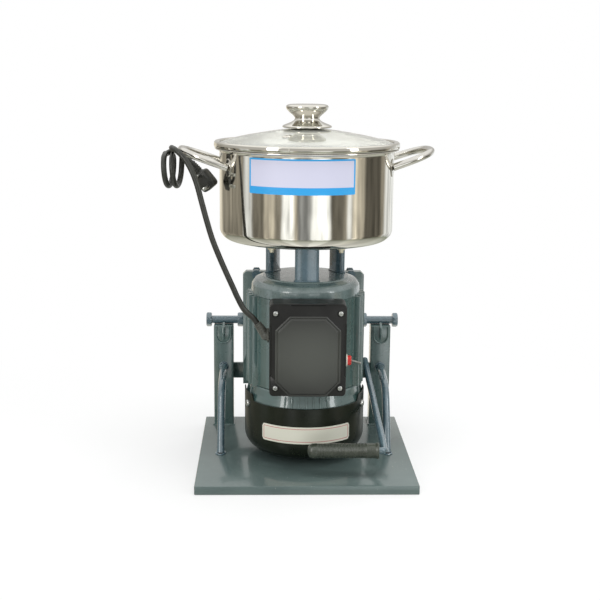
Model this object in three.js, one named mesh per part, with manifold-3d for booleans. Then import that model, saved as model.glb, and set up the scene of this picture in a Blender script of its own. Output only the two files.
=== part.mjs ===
// Garlic and chili grinder: a steel pot with a blade on top of an upright electric motor,
// which swings back on two bolts over a square base plate so that the pot empties.
// Lengths are millimetres, +Z is up, the front faces -Y, and the origin is on the floor
// under the middle of the base plate.

import * as THREE from 'three';
import { mergeVertices } from 'three/addons/utils/BufferGeometryUtils.js';
import Module from 'manifold-3d';

const wasm = await Module();
wasm.setup();

// General fits
const clearance = 0.3;
const air_gap = 0.5;
const overrun = 2;
const merge_tolerance = 1e-4;

// Roundness of the turned pieces, in sides
const fine_sides = 32;
const medium_sides = 20;
const small_sides = 12;
const screw_sides = 10;
const bar_sides = 8;

// Base plate
const plate_width = 300;
const plate_depth = 300;
const plate_thickness = 12;
const plate_edge = 1;

// Uprights with their pivot lugs
const upright_side = 30;
const upright_height = 158;
const upright_gap = 15;
const upright_setback = 123;
const lug_width = 24;
const lug_height = 27;
const lug_thickness = 2;
const lug_rib_width = 4;
const lug_rib_depth = 5;
const lug_rib_height = 22;
const lug_rib_rise = 4.5;

// Pivot bolts and their jam nuts
const pivot_bolt_diameter = 12;
const pivot_bolt_length = 65;
const pivot_head_flats = 19;
const pivot_head_thickness = 8;
const pivot_head_standoff = 3.5;
const pivot_nut_thickness = 8.7;

// Rear cross bar, which stops the swing at the upright position
const cross_bar_height = 25;
const cross_bar_thickness = 5;
const cross_bar_bottom = 79;

// Braces in front of the uprights
const brace_diameter = 11;
const brace_reach = 128;
const brace_rise = 94;
const brace_steps = 14;
const brace_route_shares = [
  [0, 1], [0.2, 0.99], [0.42, 0.955], [0.58, 0.905], [0.68, 0.82], [0.755, 0.67], [0.86, 0.4], [1, 0],
];

// Tilt bracket behind the motor
const bracket_margin = 20;
const bracket_sheet = 6;
const bracket_bottom = 84;
const bracket_top = 259;
const bracket_corner = 4.5;
const cheek_top = 197;
const cheek_corner = 12;

// Motor: a foot mounted frame with a shaft height of 90
const shaft_height = 90;
const frame_bottom = 117.5;
const frame_top = 246;
const frame_bore = 132;
const frame_wall = 10;
const fin_height = 8;
const fin_count = 40;
const fin_root_width = 5;
const fin_tip_width = 3;
const front_bare_angle = 58;
const rear_bare_angle = 128;
const frame_arc_step = 4.5;
const foot_thickness = 8;
const foot_bottom = 119;
const foot_web_inset = 20;
const foot_web_thickness = 8;
const box_seat_width = 92;
const box_seat_height = 100;
const box_seat_face = 80;

// Foot bolts
const foot_bolt_diameter = 8;
const foot_bolt_spacing_across = 140;
const foot_bolt_spacing_along = 100;
const foot_bolt_top = 255.4;
const foot_bolt_head_flats = 13;
const foot_bolt_head_thickness = 5.3;
const foot_bolt_tail = 4;

// Upper end shield with the raised disc that carries the posts
const upper_shield_radius = 76.4;
const upper_shield_shoulder = 10;
const upper_shield_height = 24;
const disc_radius = 60.6;
const disc_edge = 1.5;
const shield_wall = 6;
const shield_spigot = 5;
const shoulder_profile_shares = [[1, 0], [0.92, 0.45], [0.62, 0.8], [0.2, 0.97]];

// Lower end shield
const lower_shield_bottom = 84;
const lower_shield_radius = 80;
const lower_rib_count = 20;
const lower_rib_height = 3.8;
const lower_rib_width = 5;
const lower_screw_pad_width = 14;

// Ball bearings
const bearing_bore = 25;
const bearing_diameter = 52;
const bearing_width = 15;
const bearing_pocket_wall = 5;

// Stator and rotor
const stator_bottom = 150;
const stator_length = 72;
const stator_bore = 92;
const slot_count = 12;
const slot_inner = 49;
const slot_depth = 11;
const slot_width = 8;
const winding_overhang = 17;
const winding_inner = 47.5;
const winding_outer = 63.5;
const winding_round_share = 0.3;
const rotor_ring_height = 7;
const rotor_ring_inner = 28;
const rotor_ring_inset = 2;

// Shaft
const shaft_diameter = 25;
const shaft_end_diameter = 24;
const fan_seat_diameter = 22;
const shaft_bottom = 46;
const blade_seat_diameter = 16;
const shaft_thread_diameter = 12;
const shaft_thread_length = 14;

// Cooling fan
const fan_radius = 72;
const fan_blade_count = 8;
const fan_blade_thickness = 2;
const fan_blade_height = 20;
const fan_hub_radius = 18;
const fan_bottom = 50;
const fan_disc_thickness = 2;

// Fan cowl
const cowl_radius = 85.5;
const cowl_wall = 1.2;
const cowl_bottom = 20;
const cowl_top = 97.8;
const cowl_corner = 25;
const cowl_ear_rise = 9.2;
const cowl_ear_start = 60;
const cowl_ear_end = 97;
const cowl_corner_steps = 4;
const cowl_slot_count = 12;
const cowl_slot_width = 5;
const cowl_slot_inner = 24;
const cowl_slot_outer = 57;

// Cowl screws
const cowl_screw_angle = 70;
const cowl_screw_height = 90;
const cowl_screw_diameter = 5;
const cowl_screw_head = 10;
const cowl_screw_head_thickness = 3;
const cowl_screw_length = 8;

// Terminal box and its cover
const box_width = 102;
const box_height = 125;
const box_depth = 36.7;
const box_wall = 3;
const box_bottom = 127;
const box_edge = 6;
const box_post_diameter = 10;
const cover_thickness = 3;
const panel_rise = 3;
const panel_width = 87;
const panel_height = 109;
const panel_corner = 19;
const wire_hole_diameter = 20;
const cover_screw_spacing_across = 86;
const cover_screw_low = 11.5;
const cover_screw_high = 113;
const cover_screw_diameter = 4;
const cover_screw_head = 7;
const cover_screw_head_thickness = 2.6;
const cover_screw_length = 14;

// Run capacitor
const capacitor_diameter = 30;
const capacitor_length = 70;
const capacitor_offset = 20;
const capacitor_bottom = 141;

// Toggle switch on the right wall of the box
const switch_height = 44;
const switch_setback = 17;
const switch_body_depth = 16;
const switch_body_width = 13;
const switch_body_height = 28;
const switch_flange_diameter = 16.5;
const switch_flange_thickness = 2.4;
const switch_collar_diameter = 13;
const switch_collar_length = 5.3;
const switch_bushing_diameter = 11;
const toggle_diameter = 2.8;
const toggle_tip_diameter = 3.6;
const toggle_length = 14;
const toggle_angle = 18;
const toggle_ball_diameter = 6;

// Cable gland on the left wall of the box
const gland_height = 79;
const gland_setback = 20;
const gland_flange_diameter = 17;
const gland_flange_thickness = 3;
const gland_neck_diameter = 11;
const gland_boot_root_diameter = 14;
const gland_boot_tip_diameter = 11;
const gland_boot_length = 20;
const gland_boot_angle = 55;
const gland_neck_length = 1.5;
const knuckle_rings = 6;

// Tilt lever and its grip
const lever_diameter = 9.5;
const lever_start_height = 120;
const lever_start_setback = 96;
const lever_bend_height = 48.5;
const lever_front = 113;
const lever_bend_radius = 5.5;
const lever_bend_offset = 105.5;
const lever_bend_early_share = 0.12;
const lever_bend_late_share = 0.5;
const lever_steps = 22;
const grip_diameter = 20.5;
const grip_length = 96.5;
const grip_left_end = 1;
const grip_end_wall = 4;
const grip_round = 7;
const grip_bead = 1;
const grip_round_share = 0.3;

// Posts, pot plate and pot bolts
const post_count = 3;
const post_width = 33;
const post_thickness = 11;
const post_round = 2.5;
const post_circle = 106;
const post_height = 46;
const pot_plate_thickness = 6;
const pot_plate_radius = 60.5;
const pot_bolt_circle = 110.8;
const pot_bolt_diameter = 6;
const pot_bolt_head = 12;
const pot_bolt_head_thickness = 3.3;
const pot_nut_flats = 10;
const pot_nut_thickness = 6;
const pot_bolt_tail = 4.5;

// Pot
const pot_radius = 120.3;
const pot_height = 126;
const pot_wall = 1.5;
const pot_corner = 16;
const pot_corner_steps = 3;
const pot_lip_width = 6.7;
const pot_lip_radius = pot_radius + pot_lip_width;
const pot_lip_height = 2.4;
const pot_lip_flare = 3.4;

// Pot handles
const handle_turn = 5;
const handle_diameter = 10;
const handle_span = 94;
const handle_reach = 177;
const handle_root_height = 102;
const handle_slope = 19;
const handle_steps = 22;
const handle_sides = 8;
const handle_pad_width = 19;
const handle_pad_height = 26;
const handle_pad_thickness = 2.2;
const handle_route_shares = [
  [0, 1], [0.26, 1], [0.5, 0.97], [0.71, 0.86], [0.87, 0.66], [0.965, 0.42], [0.995, 0.2],
];

// Shaft seal in the bottom of the pot
const seal_outer_diameter = 36;
const seal_flange_diameter = 52;
const seal_flange_height = 6;
const seal_flange_round = 2;

// Chopping blade and its nut
const blade_reach = 108;
const blade_thickness = 2.5;
const blade_root_width = 26;
const blade_tip_width = 15;
const blade_sweep = 26;
const blade_hub_diameter = 34;
const blade_hub_height = 32;
const blade_level_low_share = 0.06;
const blade_level_high_share = 0.8;
const blade_nut_diameter = 24;
const blade_nut_height = 16;
const blade_nut_floor = 4;
const blade_nut_round = 4;

// Lid
const lid_rim_overhang = 1;
const lid_rim_radius = pot_lip_radius + lid_rim_overhang;
const lid_rim_height = 8.6;
const lid_rim_width = 8;
const lid_rim_lip = 1.8;
const lid_rim_skirt = 5;
const lid_rim_skirt_wall = 1.4;
const glass_thickness = 4;
const glass_rise = 20;
const glass_hole = 10.6;
const glass_edge_flat = 6.5;
const glass_profile_shares = [[0.8, 0.34], [0.48, 0.7], [0.2, 0.94]];
const knob_height = 32;
const knob_base_radius = 34;
const knob_top_radius = 29;
const knob_profile_shares = [
  [1, 0], [1, 0.05], [0.82, 0.145], [0.55, 0.29], [0.46, 0.39], [0.53, 0.5], [0.81, 0.85],
  [0.858, 0.93], [0.79, 0.985], [0.5, 1],
];
const knob_stem_diameter = 10;
const knob_washer_thickness = 2.5;

// Power cord: it leaves the gland, climbs to the left pot handle, turns round the end of the
// handle, hangs there in two turns and ends in a plug inside the handle
const cord_diameter = 7.6;
const cord_sides = 8;
const cord_run_steps = 38;
const cord_tail_steps = 12;
const cord_route = [
  [-84, -99, 240], [-92, -98, 254], [-100.5, -96, 272.5], [-109.5, -93, 292], [-118.5, -90, 312.5],
  [-127, -87, 334], [-134.5, -83, 358.5], [-141.5, -79, 384], [-147, -75.5, 404], [-153.5, -71.5, 420.5],
  [-163, -66, 436], [-174.5, -59, 446.5], [-181.5, -45, 449], [-182.5, -29, 447.5], [-183, -14, 444],
  [-184.5, -3, 442], [-189, 2.5, 440], [-193, -1, 438],
];
const coil_turns = 1.8;
const coil_steps_per_turn = 24;
const coil_sides = 6;
const coil_radius_across = 22;
const coil_radius_high = 20.5;
const coil_pitch = 11;
const coil_slant = 3.5;
const coil_start = [-194, -18, 416.5];
const tail_route = [[-168.5, -10, 434.8], [-163, -19, 433.3]];
const plug_start = [-157.5, -27, 428];
const plug_direction = [0.64, -0.12, -0.76];
const plug_face = [-0.26, -0.93, -0.07];

// Plug with its cable entering from the side
const plug_neck_length = 17;
const plug_neck_root_diameter = 14;
const plug_neck_tip_diameter = 10;
const plug_body_length = 27;
const plug_body_width = 22;
const plug_body_thickness = 16;
const plug_corner = 6;
const plug_edge = 2;
const pin_diameter = 4.8;
const pin_length = 19;
const pin_spacing = 19;

const RIGHT_ANGLE = Math.PI / 2;
const FULL_TURN = 2 * Math.PI;

function radians(degrees) {
  return THREE.MathUtils.degToRad(degrees);
}

// Geometry helpers

function bareGeometry(positions, indices) {
  const geometry = new THREE.BufferGeometry();
  geometry.setAttribute('position', new THREE.BufferAttribute(new Float32Array(positions), 3));
  geometry.setIndex(indices);
  return geometry;
}

function signedVolume(position, index) {
  const a = new THREE.Vector3();
  const b = new THREE.Vector3();
  const c = new THREE.Vector3();
  let sum = 0;
  for (let i = 0; i < index.length; i += 3) {
    a.fromBufferAttribute(position, index[i]);
    b.fromBufferAttribute(position, index[i + 1]);
    c.fromBufferAttribute(position, index[i + 2]);
    sum += a.dot(b.cross(c));
  }
  return sum;
}

// One closed surface: shared corners merged, flat triangles dropped, faces turned outwards
function closed(source) {
  const bare = source.clone();
  for (const name of Object.keys(bare.attributes)) {
    if (name !== 'position') bare.deleteAttribute(name);
  }
  const merged = mergeVertices(bare, merge_tolerance);
  const old = merged.index.array;
  const index = [];
  for (let i = 0; i < old.length; i += 3) {
    const [a, b, c] = [old[i], old[i + 1], old[i + 2]];
    if (a !== b && b !== c && c !== a) index.push(a, b, c);
  }
  if (signedVolume(merged.attributes.position, index) < 0) {
    for (let i = 0; i < index.length; i += 3) {
      [index[i + 1], index[i + 2]] = [index[i + 2], index[i + 1]];
    }
  }
  return bareGeometry(merged.attributes.position.array, index);
}

function toManifold(geometry) {
  const shape = closed(geometry);
  return new wasm.Manifold(new wasm.Mesh({
    numProp: 3,
    vertProperties: new Float32Array(shape.attributes.position.array),
    triVerts: new Uint32Array(shape.index.array),
  }));
}

function fromManifold(solid) {
  const mesh = solid.getMesh();
  return bareGeometry(mesh.vertProperties, Array.from(mesh.triVerts));
}

// Joins the first list of shapes and cuts the second list away
function build(adds, cuts = []) {
  let solid = toManifold(adds[0]);
  for (const shape of adds.slice(1)) solid = solid.add(toManifold(shape));
  for (const shape of cuts) solid = solid.subtract(toManifold(shape));
  return fromManifold(solid);
}

function common(first, second) {
  return fromManifold(toManifold(first).intersect(toManifold(second)));
}

// A box between two corners
function block(low, high) {
  const size = high.map((value, axis) => value - low[axis]);
  const geometry = new THREE.BoxGeometry(...size);
  geometry.translate(...low.map((value, axis) => value + size[axis] / 2));
  return geometry;
}

// A turned piece about Z from a list of [radius, height]
function turned(profile, sides) {
  const points = profile.map(([radius, height]) => new THREE.Vector2(radius, height));
  const geometry = new THREE.LatheGeometry(points, sides);
  geometry.rotateX(RIGHT_ANGLE);
  return closed(geometry);
}

function ring(inner, outer, bottom, top, sides) {
  return turned([[inner, bottom], [outer, bottom], [outer, top], [inner, top], [inner, bottom]], sides);
}

function rod(radius, bottom, top, sides) {
  return turned([[0, bottom], [radius, bottom], [radius, top], [0, top]], sides);
}

// A hexagon prism along Z, given across its flats
function hexagon(flats, bottom, top) {
  return turned([
    [0, bottom],
    [flats / Math.sqrt(3), bottom],
    [flats / Math.sqrt(3), top],
    [0, top],
  ], 6);
}

function outline(points, holes = []) {
  const shape = new THREE.Shape(points.map(([x, y]) => new THREE.Vector2(x, y)));
  for (const hole of holes) {
    shape.holes.push(new THREE.Path(hole.map(([x, y]) => new THREE.Vector2(x, y))));
  }
  return shape;
}

function prism(points, bottom, top, holes = []) {
  const geometry = new THREE.ExtrudeGeometry(outline(points, holes), {
    depth: top - bottom,
    bevelEnabled: false,
  });
  geometry.translate(0, 0, bottom);
  return closed(geometry);
}

// A prism whose outline is drawn as [y, z] and whose length runs along X
function sidePrism(points, left, right) {
  const geometry = prism(points, left, right);
  geometry.rotateY(RIGHT_ANGLE);
  geometry.rotateX(RIGHT_ANGLE);
  return geometry;
}

// A prism whose outline is drawn as [x, z] and whose length runs along Y
function frontPrism(points, front, back) {
  const geometry = prism(points, -back, -front);
  geometry.rotateX(RIGHT_ANGLE);
  return geometry;
}

function circlePoints(radius, sides) {
  return Array.from({ length: sides }, (_, i) => {
    const angle = FULL_TURN * i / sides;
    return [radius * Math.cos(angle), radius * Math.sin(angle)];
  });
}

function roundedRectangle(width, height, radius, steps = 3) {
  const points = [];
  const corners = [[1, 1, 0], [-1, 1, 1], [-1, -1, 2], [1, -1, 3]];
  for (const [sx, sy, quarter] of corners) {
    for (let i = 0; i <= steps; i += 1) {
      const angle = RIGHT_ANGLE * (quarter + i / steps);
      points.push([
        sx * (width / 2 - radius) + radius * Math.cos(angle),
        sy * (height / 2 - radius) + radius * Math.sin(angle),
      ]);
    }
  }
  return points;
}

function chamferedRectangle(width, height, corner) {
  const x = width / 2;
  const y = height / 2;
  return [
    [x, y - corner], [x - corner, y], [-x + corner, y], [-x, y - corner],
    [-x, -y + corner], [-x + corner, -y], [x - corner, -y], [x, -y + corner],
  ];
}

// A bar of round section along a smooth curve through points
function bar(points, radius, sides, steps) {
  const curve = new THREE.CatmullRomCurve3(points.map((p) => new THREE.Vector3(...p)), false, 'centripetal');
  const geometry = new THREE.ExtrudeGeometry(outline(circlePoints(radius, sides)), {
    steps,
    extrudePath: curve,
    bevelEnabled: false,
  });
  return closed(geometry);
}

// A tube through points, with one ring of corners at each point and flat ends
function sweep(points, radius, sides) {
  const path = points.map((p) => new THREE.Vector3(...p));
  const tangents = path.map((p, i) => {
    const next = path[Math.min(i + 1, path.length - 1)];
    const previous = path[Math.max(i - 1, 0)];
    return next.clone().sub(previous).normalize();
  });
  const positions = [];
  const indices = [];
  const normal = new THREE.Vector3(0, 0, 1).cross(tangents[0]).normalize();
  for (let i = 0; i < path.length; i += 1) {
    normal.addScaledVector(tangents[i], -normal.dot(tangents[i])).normalize();
    const side = tangents[i].clone().cross(normal);
    for (let j = 0; j < sides; j += 1) {
      const angle = FULL_TURN * j / sides;
      const corner = path[i].clone();
      corner.addScaledVector(normal, radius * Math.cos(angle));
      corner.addScaledVector(side, radius * Math.sin(angle));
      positions.push(corner.x, corner.y, corner.z);
    }
  }
  for (let i = 0; i + 1 < path.length; i += 1) {
    for (let j = 0; j < sides; j += 1) {
      const a = i * sides + j;
      const b = i * sides + (j + 1) % sides;
      indices.push(a, b, b + sides, a, b + sides, a + sides);
    }
  }
  const last = (path.length - 1) * sides;
  for (let j = 1; j + 1 < sides; j += 1) {
    indices.push(0, j + 1, j, last, last + j, last + j + 1);
  }
  return closed(bareGeometry(positions, indices));
}

function moved(geometry, x, y, z) {
  const copy = geometry.clone();
  copy.translate(x, y, z);
  return copy;
}

function turnedAboutZ(geometry, degrees) {
  const copy = geometry.clone();
  copy.rotateZ(radians(degrees));
  return copy;
}

// Points a piece made along +Z along another direction, with its foot at a point
function aimed(geometry, direction, foot) {
  const copy = geometry.clone();
  const towards = new THREE.Vector3(...direction).normalize();
  const turn = new THREE.Quaternion().setFromUnitVectors(new THREE.Vector3(0, 0, 1), towards);
  copy.applyQuaternion(turn);
  copy.translate(...foot);
  return copy;
}

// Materials

function steelPaint() {
  return new THREE.MeshStandardMaterial({ color: 0x40595f, roughness: 0.28, metalness: 0.35 });
}

function darkPaint() {
  return new THREE.MeshStandardMaterial({ color: 0x171d19, roughness: 0.32, metalness: 0.2 });
}

function stainless() {
  return new THREE.MeshStandardMaterial({ color: 0xc9c4ba, roughness: 0.12, metalness: 1 });
}

function zinc() {
  return new THREE.MeshStandardMaterial({ color: 0xc3c6c4, roughness: 0.35, metalness: 1 });
}

function castMetal() {
  return new THREE.MeshStandardMaterial({ color: 0x8c9090, roughness: 0.6, metalness: 0.8 });
}

function copper() {
  return new THREE.MeshStandardMaterial({ color: 0xb06a3a, roughness: 0.4, metalness: 1 });
}

function rubber() {
  return new THREE.MeshStandardMaterial({ color: 0x1b1b1b, roughness: 0.6, metalness: 0 });
}

function blackPlastic() {
  return new THREE.MeshStandardMaterial({ color: 0x2c2d2b, roughness: 0.45, metalness: 0 });
}

function redPlastic() {
  return new THREE.MeshStandardMaterial({ color: 0xc03a2c, roughness: 0.35, metalness: 0 });
}

function clearGlass() {
  return new THREE.MeshStandardMaterial({
    color: 0xdde6e2,
    roughness: 0.05,
    metalness: 0,
    transparent: true,
    opacity: 0.4,
  });
}

const grinder = new THREE.Group();
const standing = new THREE.Group();
const swinging = new THREE.Group();
const lid = new THREE.Group();
const rotating = new THREE.Group();
grinder.add(standing, swinging);
swinging.add(rotating, lid);

function piece(group, name, geometry, material) {
  const mesh = new THREE.Mesh(geometry, material);
  mesh.name = name;
  group.add(mesh);
  return mesh;
}

// Heights and faces that several pieces share
const plate_top = plate_thickness;
const upright_top = plate_top + upright_height;
const upright_front = upright_setback - upright_side / 2;
const upright_back = upright_setback + upright_side / 2;
const pivot_radius = pivot_bolt_diameter / 2;
const pivot_z = upright_top + clearance + pivot_radius;
const bracket_width = foot_bolt_spacing_across + 2 * bracket_margin;
const bracket_x = bracket_width / 2;
const upright_x = bracket_x + upright_gap + upright_side / 2;
const foot_web_x = foot_bolt_spacing_across / 2 - foot_web_inset;
const bracket_front = shaft_height;
const bracket_back = bracket_front + bracket_sheet;
const disc_top = frame_top + upper_shield_height;
const pot_plate_bottom = disc_top + post_height;
const pot_bottom = pot_plate_bottom + pot_plate_thickness;
const pot_floor = pot_bottom + pot_wall;
const pot_rim = pot_bottom + pot_height;
const frame_outer = frame_bore / 2 + frame_wall;
const shaft_radius = shaft_diameter / 2;
const shaft_end_radius = shaft_end_diameter / 2;

// Base plate
{
  const edge = plate_edge;
  const geometry = new THREE.ExtrudeGeometry(
    outline(roundedRectangle(plate_width - 2 * edge, plate_depth - 2 * edge, edge)),
    { depth: plate_thickness - 2 * edge, bevelThickness: edge, bevelSize: edge, bevelSegments: 1 },
  );
  geometry.translate(0, 0, edge);
  piece(standing, 'base_plate', closed(geometry), steelPaint());
}

// Uprights, each with the lug that holds the pivot bolt on its top
{
  const lug_half = lug_width / 2;
  const lug_outline = [[lug_half, 0], [-lug_half, 0]];
  const lug_arc_steps = 8;
  for (let i = 0; i <= lug_arc_steps; i += 1) {
    const angle = Math.PI + Math.PI * i / lug_arc_steps;
    lug_outline.push([lug_half * Math.cos(angle), lug_half - lug_height + lug_half * Math.sin(angle)]);
  }
  const lug_front = upright_front - lug_thickness;
  const rib_front = lug_front - lug_rib_depth;
  const rib_back = upright_setback - pivot_radius - 2 * clearance;
  const rib_top = upright_top + lug_rib_rise;
  const rib_outline = [
    [upright_front, upright_top - lug_height],
    [lug_front, upright_top - lug_rib_height],
    [rib_front, upright_top - lug_rib_height / 2],
    [rib_front + lug_rib_depth / 2, upright_top - lug_thickness],
    [rib_back - lug_thickness, rib_top],
    [rib_back, rib_top],
    [rib_back, upright_top - lug_thickness],
    [upright_front + lug_thickness, upright_top - lug_height / 2],
  ];
  for (const [side, name] of [[-1, 'upright_left'], [1, 'upright_right']]) {
    const x = side * upright_x;
    const column = block(
      [x - upright_side / 2, upright_front, plate_top],
      [x + upright_side / 2, upright_back, upright_top],
    );
    const lug = moved(frontPrism(lug_outline, lug_front, upright_setback), x, 0, upright_top);
    const rib = moved(sidePrism(rib_outline, -lug_rib_width / 2, lug_rib_width / 2), x, 0, 0);
    piece(standing, name, build([column, lug, rib]), steelPaint());
  }
}

// Pivot bolts along X with their jam nuts against the cheeks of the bracket
{
  const head_face = upright_x + upright_side / 2 + pivot_head_standoff;
  const bolt = build([
    hexagon(pivot_head_flats, 0, pivot_head_thickness),
    rod(pivot_radius, -pivot_bolt_length, pivot_head_thickness / 2, small_sides),
  ]);
  const nut = build(
    [hexagon(pivot_head_flats, 0, pivot_nut_thickness)],
    [rod(pivot_radius + clearance, -overrun, pivot_nut_thickness + overrun, small_sides)],
  );
  for (const [side, word] of [[-1, 'left'], [1, 'right']]) {
    const across = [side, 0, 0];
    piece(
      standing, `pivot_bolt_${word}`,
      aimed(bolt, across, [side * head_face, upright_setback, pivot_z]), steelPaint(),
    );
    piece(
      standing, `pivot_nut_${word}`,
      aimed(nut, across, [side * (bracket_x + clearance), upright_setback, pivot_z]), zinc(),
    );
  }
}

// Rear cross bar
{
  const half = upright_x + upright_side / 2;
  piece(standing, 'rear_cross_bar', block(
    [-half, upright_back, cross_bar_bottom],
    [half, upright_back + cross_bar_thickness, cross_bar_bottom + cross_bar_height],
  ), steelPaint());
}

// Braces
{
  const foot = plate_top + clearance;
  const wall = upright_front - clearance;
  const points = brace_route_shares.map(([forward, up]) => [
    0, wall - brace_reach * forward, foot + brace_rise * up,
  ]);
  const first = points[0];
  const last = points[points.length - 1];
  const before = points[points.length - 2];
  points.unshift([0, first[1] + brace_diameter, first[2]]);
  const run = new THREE.Vector3(...last).sub(new THREE.Vector3(...before)).normalize();
  points.push([0, last[1] + brace_diameter * run.y, last[2] + brace_diameter * run.z]);
  const raw = bar(points, brace_diameter / 2, bar_sides, brace_steps);
  const below = block([-brace_diameter, -plate_depth, 0], [brace_diameter, plate_depth, foot]);
  const behind = block([-brace_diameter, wall, 0], [brace_diameter, plate_depth, upright_top]);
  const trimmed = build([raw], [below, behind]);
  piece(standing, 'brace_left', moved(trimmed, -upright_x, 0, 0), steelPaint());
  piece(standing, 'brace_right', moved(trimmed, upright_x, 0, 0), steelPaint());
}

// Outline of the foot plate and the bracket plate, which share their chamfered top corners
function slottedPlate(bottom, front, back) {
  const chamfered = frontPrism([
    [bracket_x, bottom],
    [bracket_x, bracket_top - bracket_corner],
    [bracket_x - bracket_corner, bracket_top],
    [-bracket_x + bracket_corner, bracket_top],
    [-bracket_x, bracket_top - bracket_corner],
    [-bracket_x, bottom],
  ], front, back);
  const cuts = [];
  const hole_radius = foot_bolt_diameter / 2 + clearance;
  for (const side of [-1, 1]) {
    const x = side * foot_bolt_spacing_across / 2;
    const hole = rod(hole_radius, -overrun, back - front + overrun, screw_sides);
    cuts.push(aimed(hole, [0, 1, 0], [x, front, foot_bolt_top]));
    cuts.push(aimed(hole, [0, 1, 0], [x, front, foot_bolt_top - foot_bolt_spacing_along]));
    cuts.push(block(
      [x - hole_radius, front - overrun, foot_bolt_top],
      [x + hole_radius, back + overrun, bracket_top + overrun],
    ));
  }
  return { chamfered, cuts };
}

// Tilt bracket
{
  const { chamfered, cuts } = slottedPlate(bracket_bottom, bracket_front, bracket_back);
  const cheek_back = upright_back - clearance;
  const cheek = [
    [bracket_front, bracket_bottom],
    [cheek_back, bracket_bottom],
    [cheek_back, cheek_top - cheek_corner],
    [cheek_back - cheek_corner, cheek_top],
    [bracket_front, cheek_top],
  ];
  const pivot_hole = aimed(
    rod(pivot_radius + clearance, -overrun, bracket_width + overrun, small_sides),
    [1, 0, 0], [-bracket_x, upright_setback, pivot_z],
  );
  piece(swinging, 'tilt_bracket', build([
    chamfered,
    sidePrism(cheek, -bracket_x, -bracket_x + bracket_sheet),
    sidePrism(cheek, bracket_x - bracket_sheet, bracket_x),
  ], [...cuts, pivot_hole]), steelPaint());
}

// Angle from the front of the motor, as a direction in the plan view
function planPoint(radius, degrees_from_front) {
  const angle = radians(degrees_from_front) - RIGHT_ANGLE;
  return [radius * Math.cos(angle), radius * Math.sin(angle)];
}

// Motor housing: finned tube with its foot plate and the seat of the terminal box
{
  const tip = frame_outer + fin_height;
  const points = [];
  const fin_step = 360 / fin_count;
  const half_root = THREE.MathUtils.radToDeg(fin_root_width / 2 / frame_outer);
  const half_tip = THREE.MathUtils.radToDeg(fin_tip_width / 2 / tip);
  for (let i = 0; i < fin_count; i += 1) {
    const middle = fin_step * i;
    const from_front = Math.min(middle, 360 - middle);
    if (from_front > front_bare_angle && from_front < rear_bare_angle) {
      points.push(planPoint(frame_outer, middle - half_root));
      points.push(planPoint(tip, middle - half_tip));
      points.push(planPoint(tip, middle + half_tip));
      points.push(planPoint(frame_outer, middle + half_root));
    } else {
      points.push(planPoint(frame_outer, middle - frame_arc_step / 2));
      points.push(planPoint(frame_outer, middle + frame_arc_step / 2));
    }
  }
  const tube = prism(points, frame_bottom, frame_top);
  const { chamfered, cuts } = slottedPlate(foot_bottom, shaft_height - foot_thickness, shaft_height);
  const webs = [-1, 1].map((side) => block(
    [side * foot_web_x - foot_web_thickness / 2, 0, frame_bottom],
    [side * foot_web_x + foot_web_thickness / 2, shaft_height - foot_thickness / 2, frame_top],
  ));
  const keel = block(
    [-foot_web_thickness, 0, frame_bottom],
    [foot_web_thickness, shaft_height - foot_thickness / 2, frame_top],
  );
  const seat_middle = box_bottom + box_height / 2;
  const seat = block(
    [-box_seat_width / 2, -box_seat_face, seat_middle - box_seat_height / 2],
    [box_seat_width / 2, 0, seat_middle + box_seat_height / 2],
  );
  const bore = rod(frame_bore / 2, foot_bottom - overrun, bracket_top + overrun, fine_sides);
  const wire_hole = aimed(
    rod(wire_hole_diameter / 2, 0, box_seat_face + overrun, screw_sides), [0, -1, 0], [0, 0, seat_middle],
  );
  piece(swinging, 'motor_housing', build(
    [tube, chamfered, ...webs, keel, seat],
    [bore, wire_hole, ...cuts],
  ), steelPaint());
}

// Foot bolts with their nuts behind the bracket
{
  const under_head = shaft_height - foot_thickness - clearance;
  const nut_face = bracket_back + clearance - under_head;
  const bolt = build([
    hexagon(foot_bolt_head_flats, -foot_bolt_head_thickness, 0),
    rod(foot_bolt_diameter / 2, -foot_bolt_head_thickness / 2,
      nut_face + foot_bolt_head_thickness + foot_bolt_tail, screw_sides),
    hexagon(foot_bolt_head_flats, nut_face, nut_face + foot_bolt_head_thickness),
  ]);
  let number = 1;
  for (const height of [foot_bolt_top, foot_bolt_top - foot_bolt_spacing_along]) {
    for (const side of [-1, 1]) {
      const foot = [side * foot_bolt_spacing_across / 2, under_head, height];
      piece(swinging, `foot_bolt_${number}`, aimed(bolt, [0, 1, 0], foot), zinc());
      number += 1;
    }
  }
}

// Bearing seats: the outer ring of each bearing sits in a pocket of its end shield
const bearing_radius = bearing_diameter / 2;
const pocket_radius = bearing_radius + clearance;
const pocket_outer = pocket_radius + bearing_pocket_wall;
const shaft_passage = shaft_radius + 2 * clearance;
const upper_bearing_bottom = disc_top - shield_wall - bearing_width - clearance;
const lower_bearing_bottom = lower_shield_bottom + shield_wall + clearance;

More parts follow.
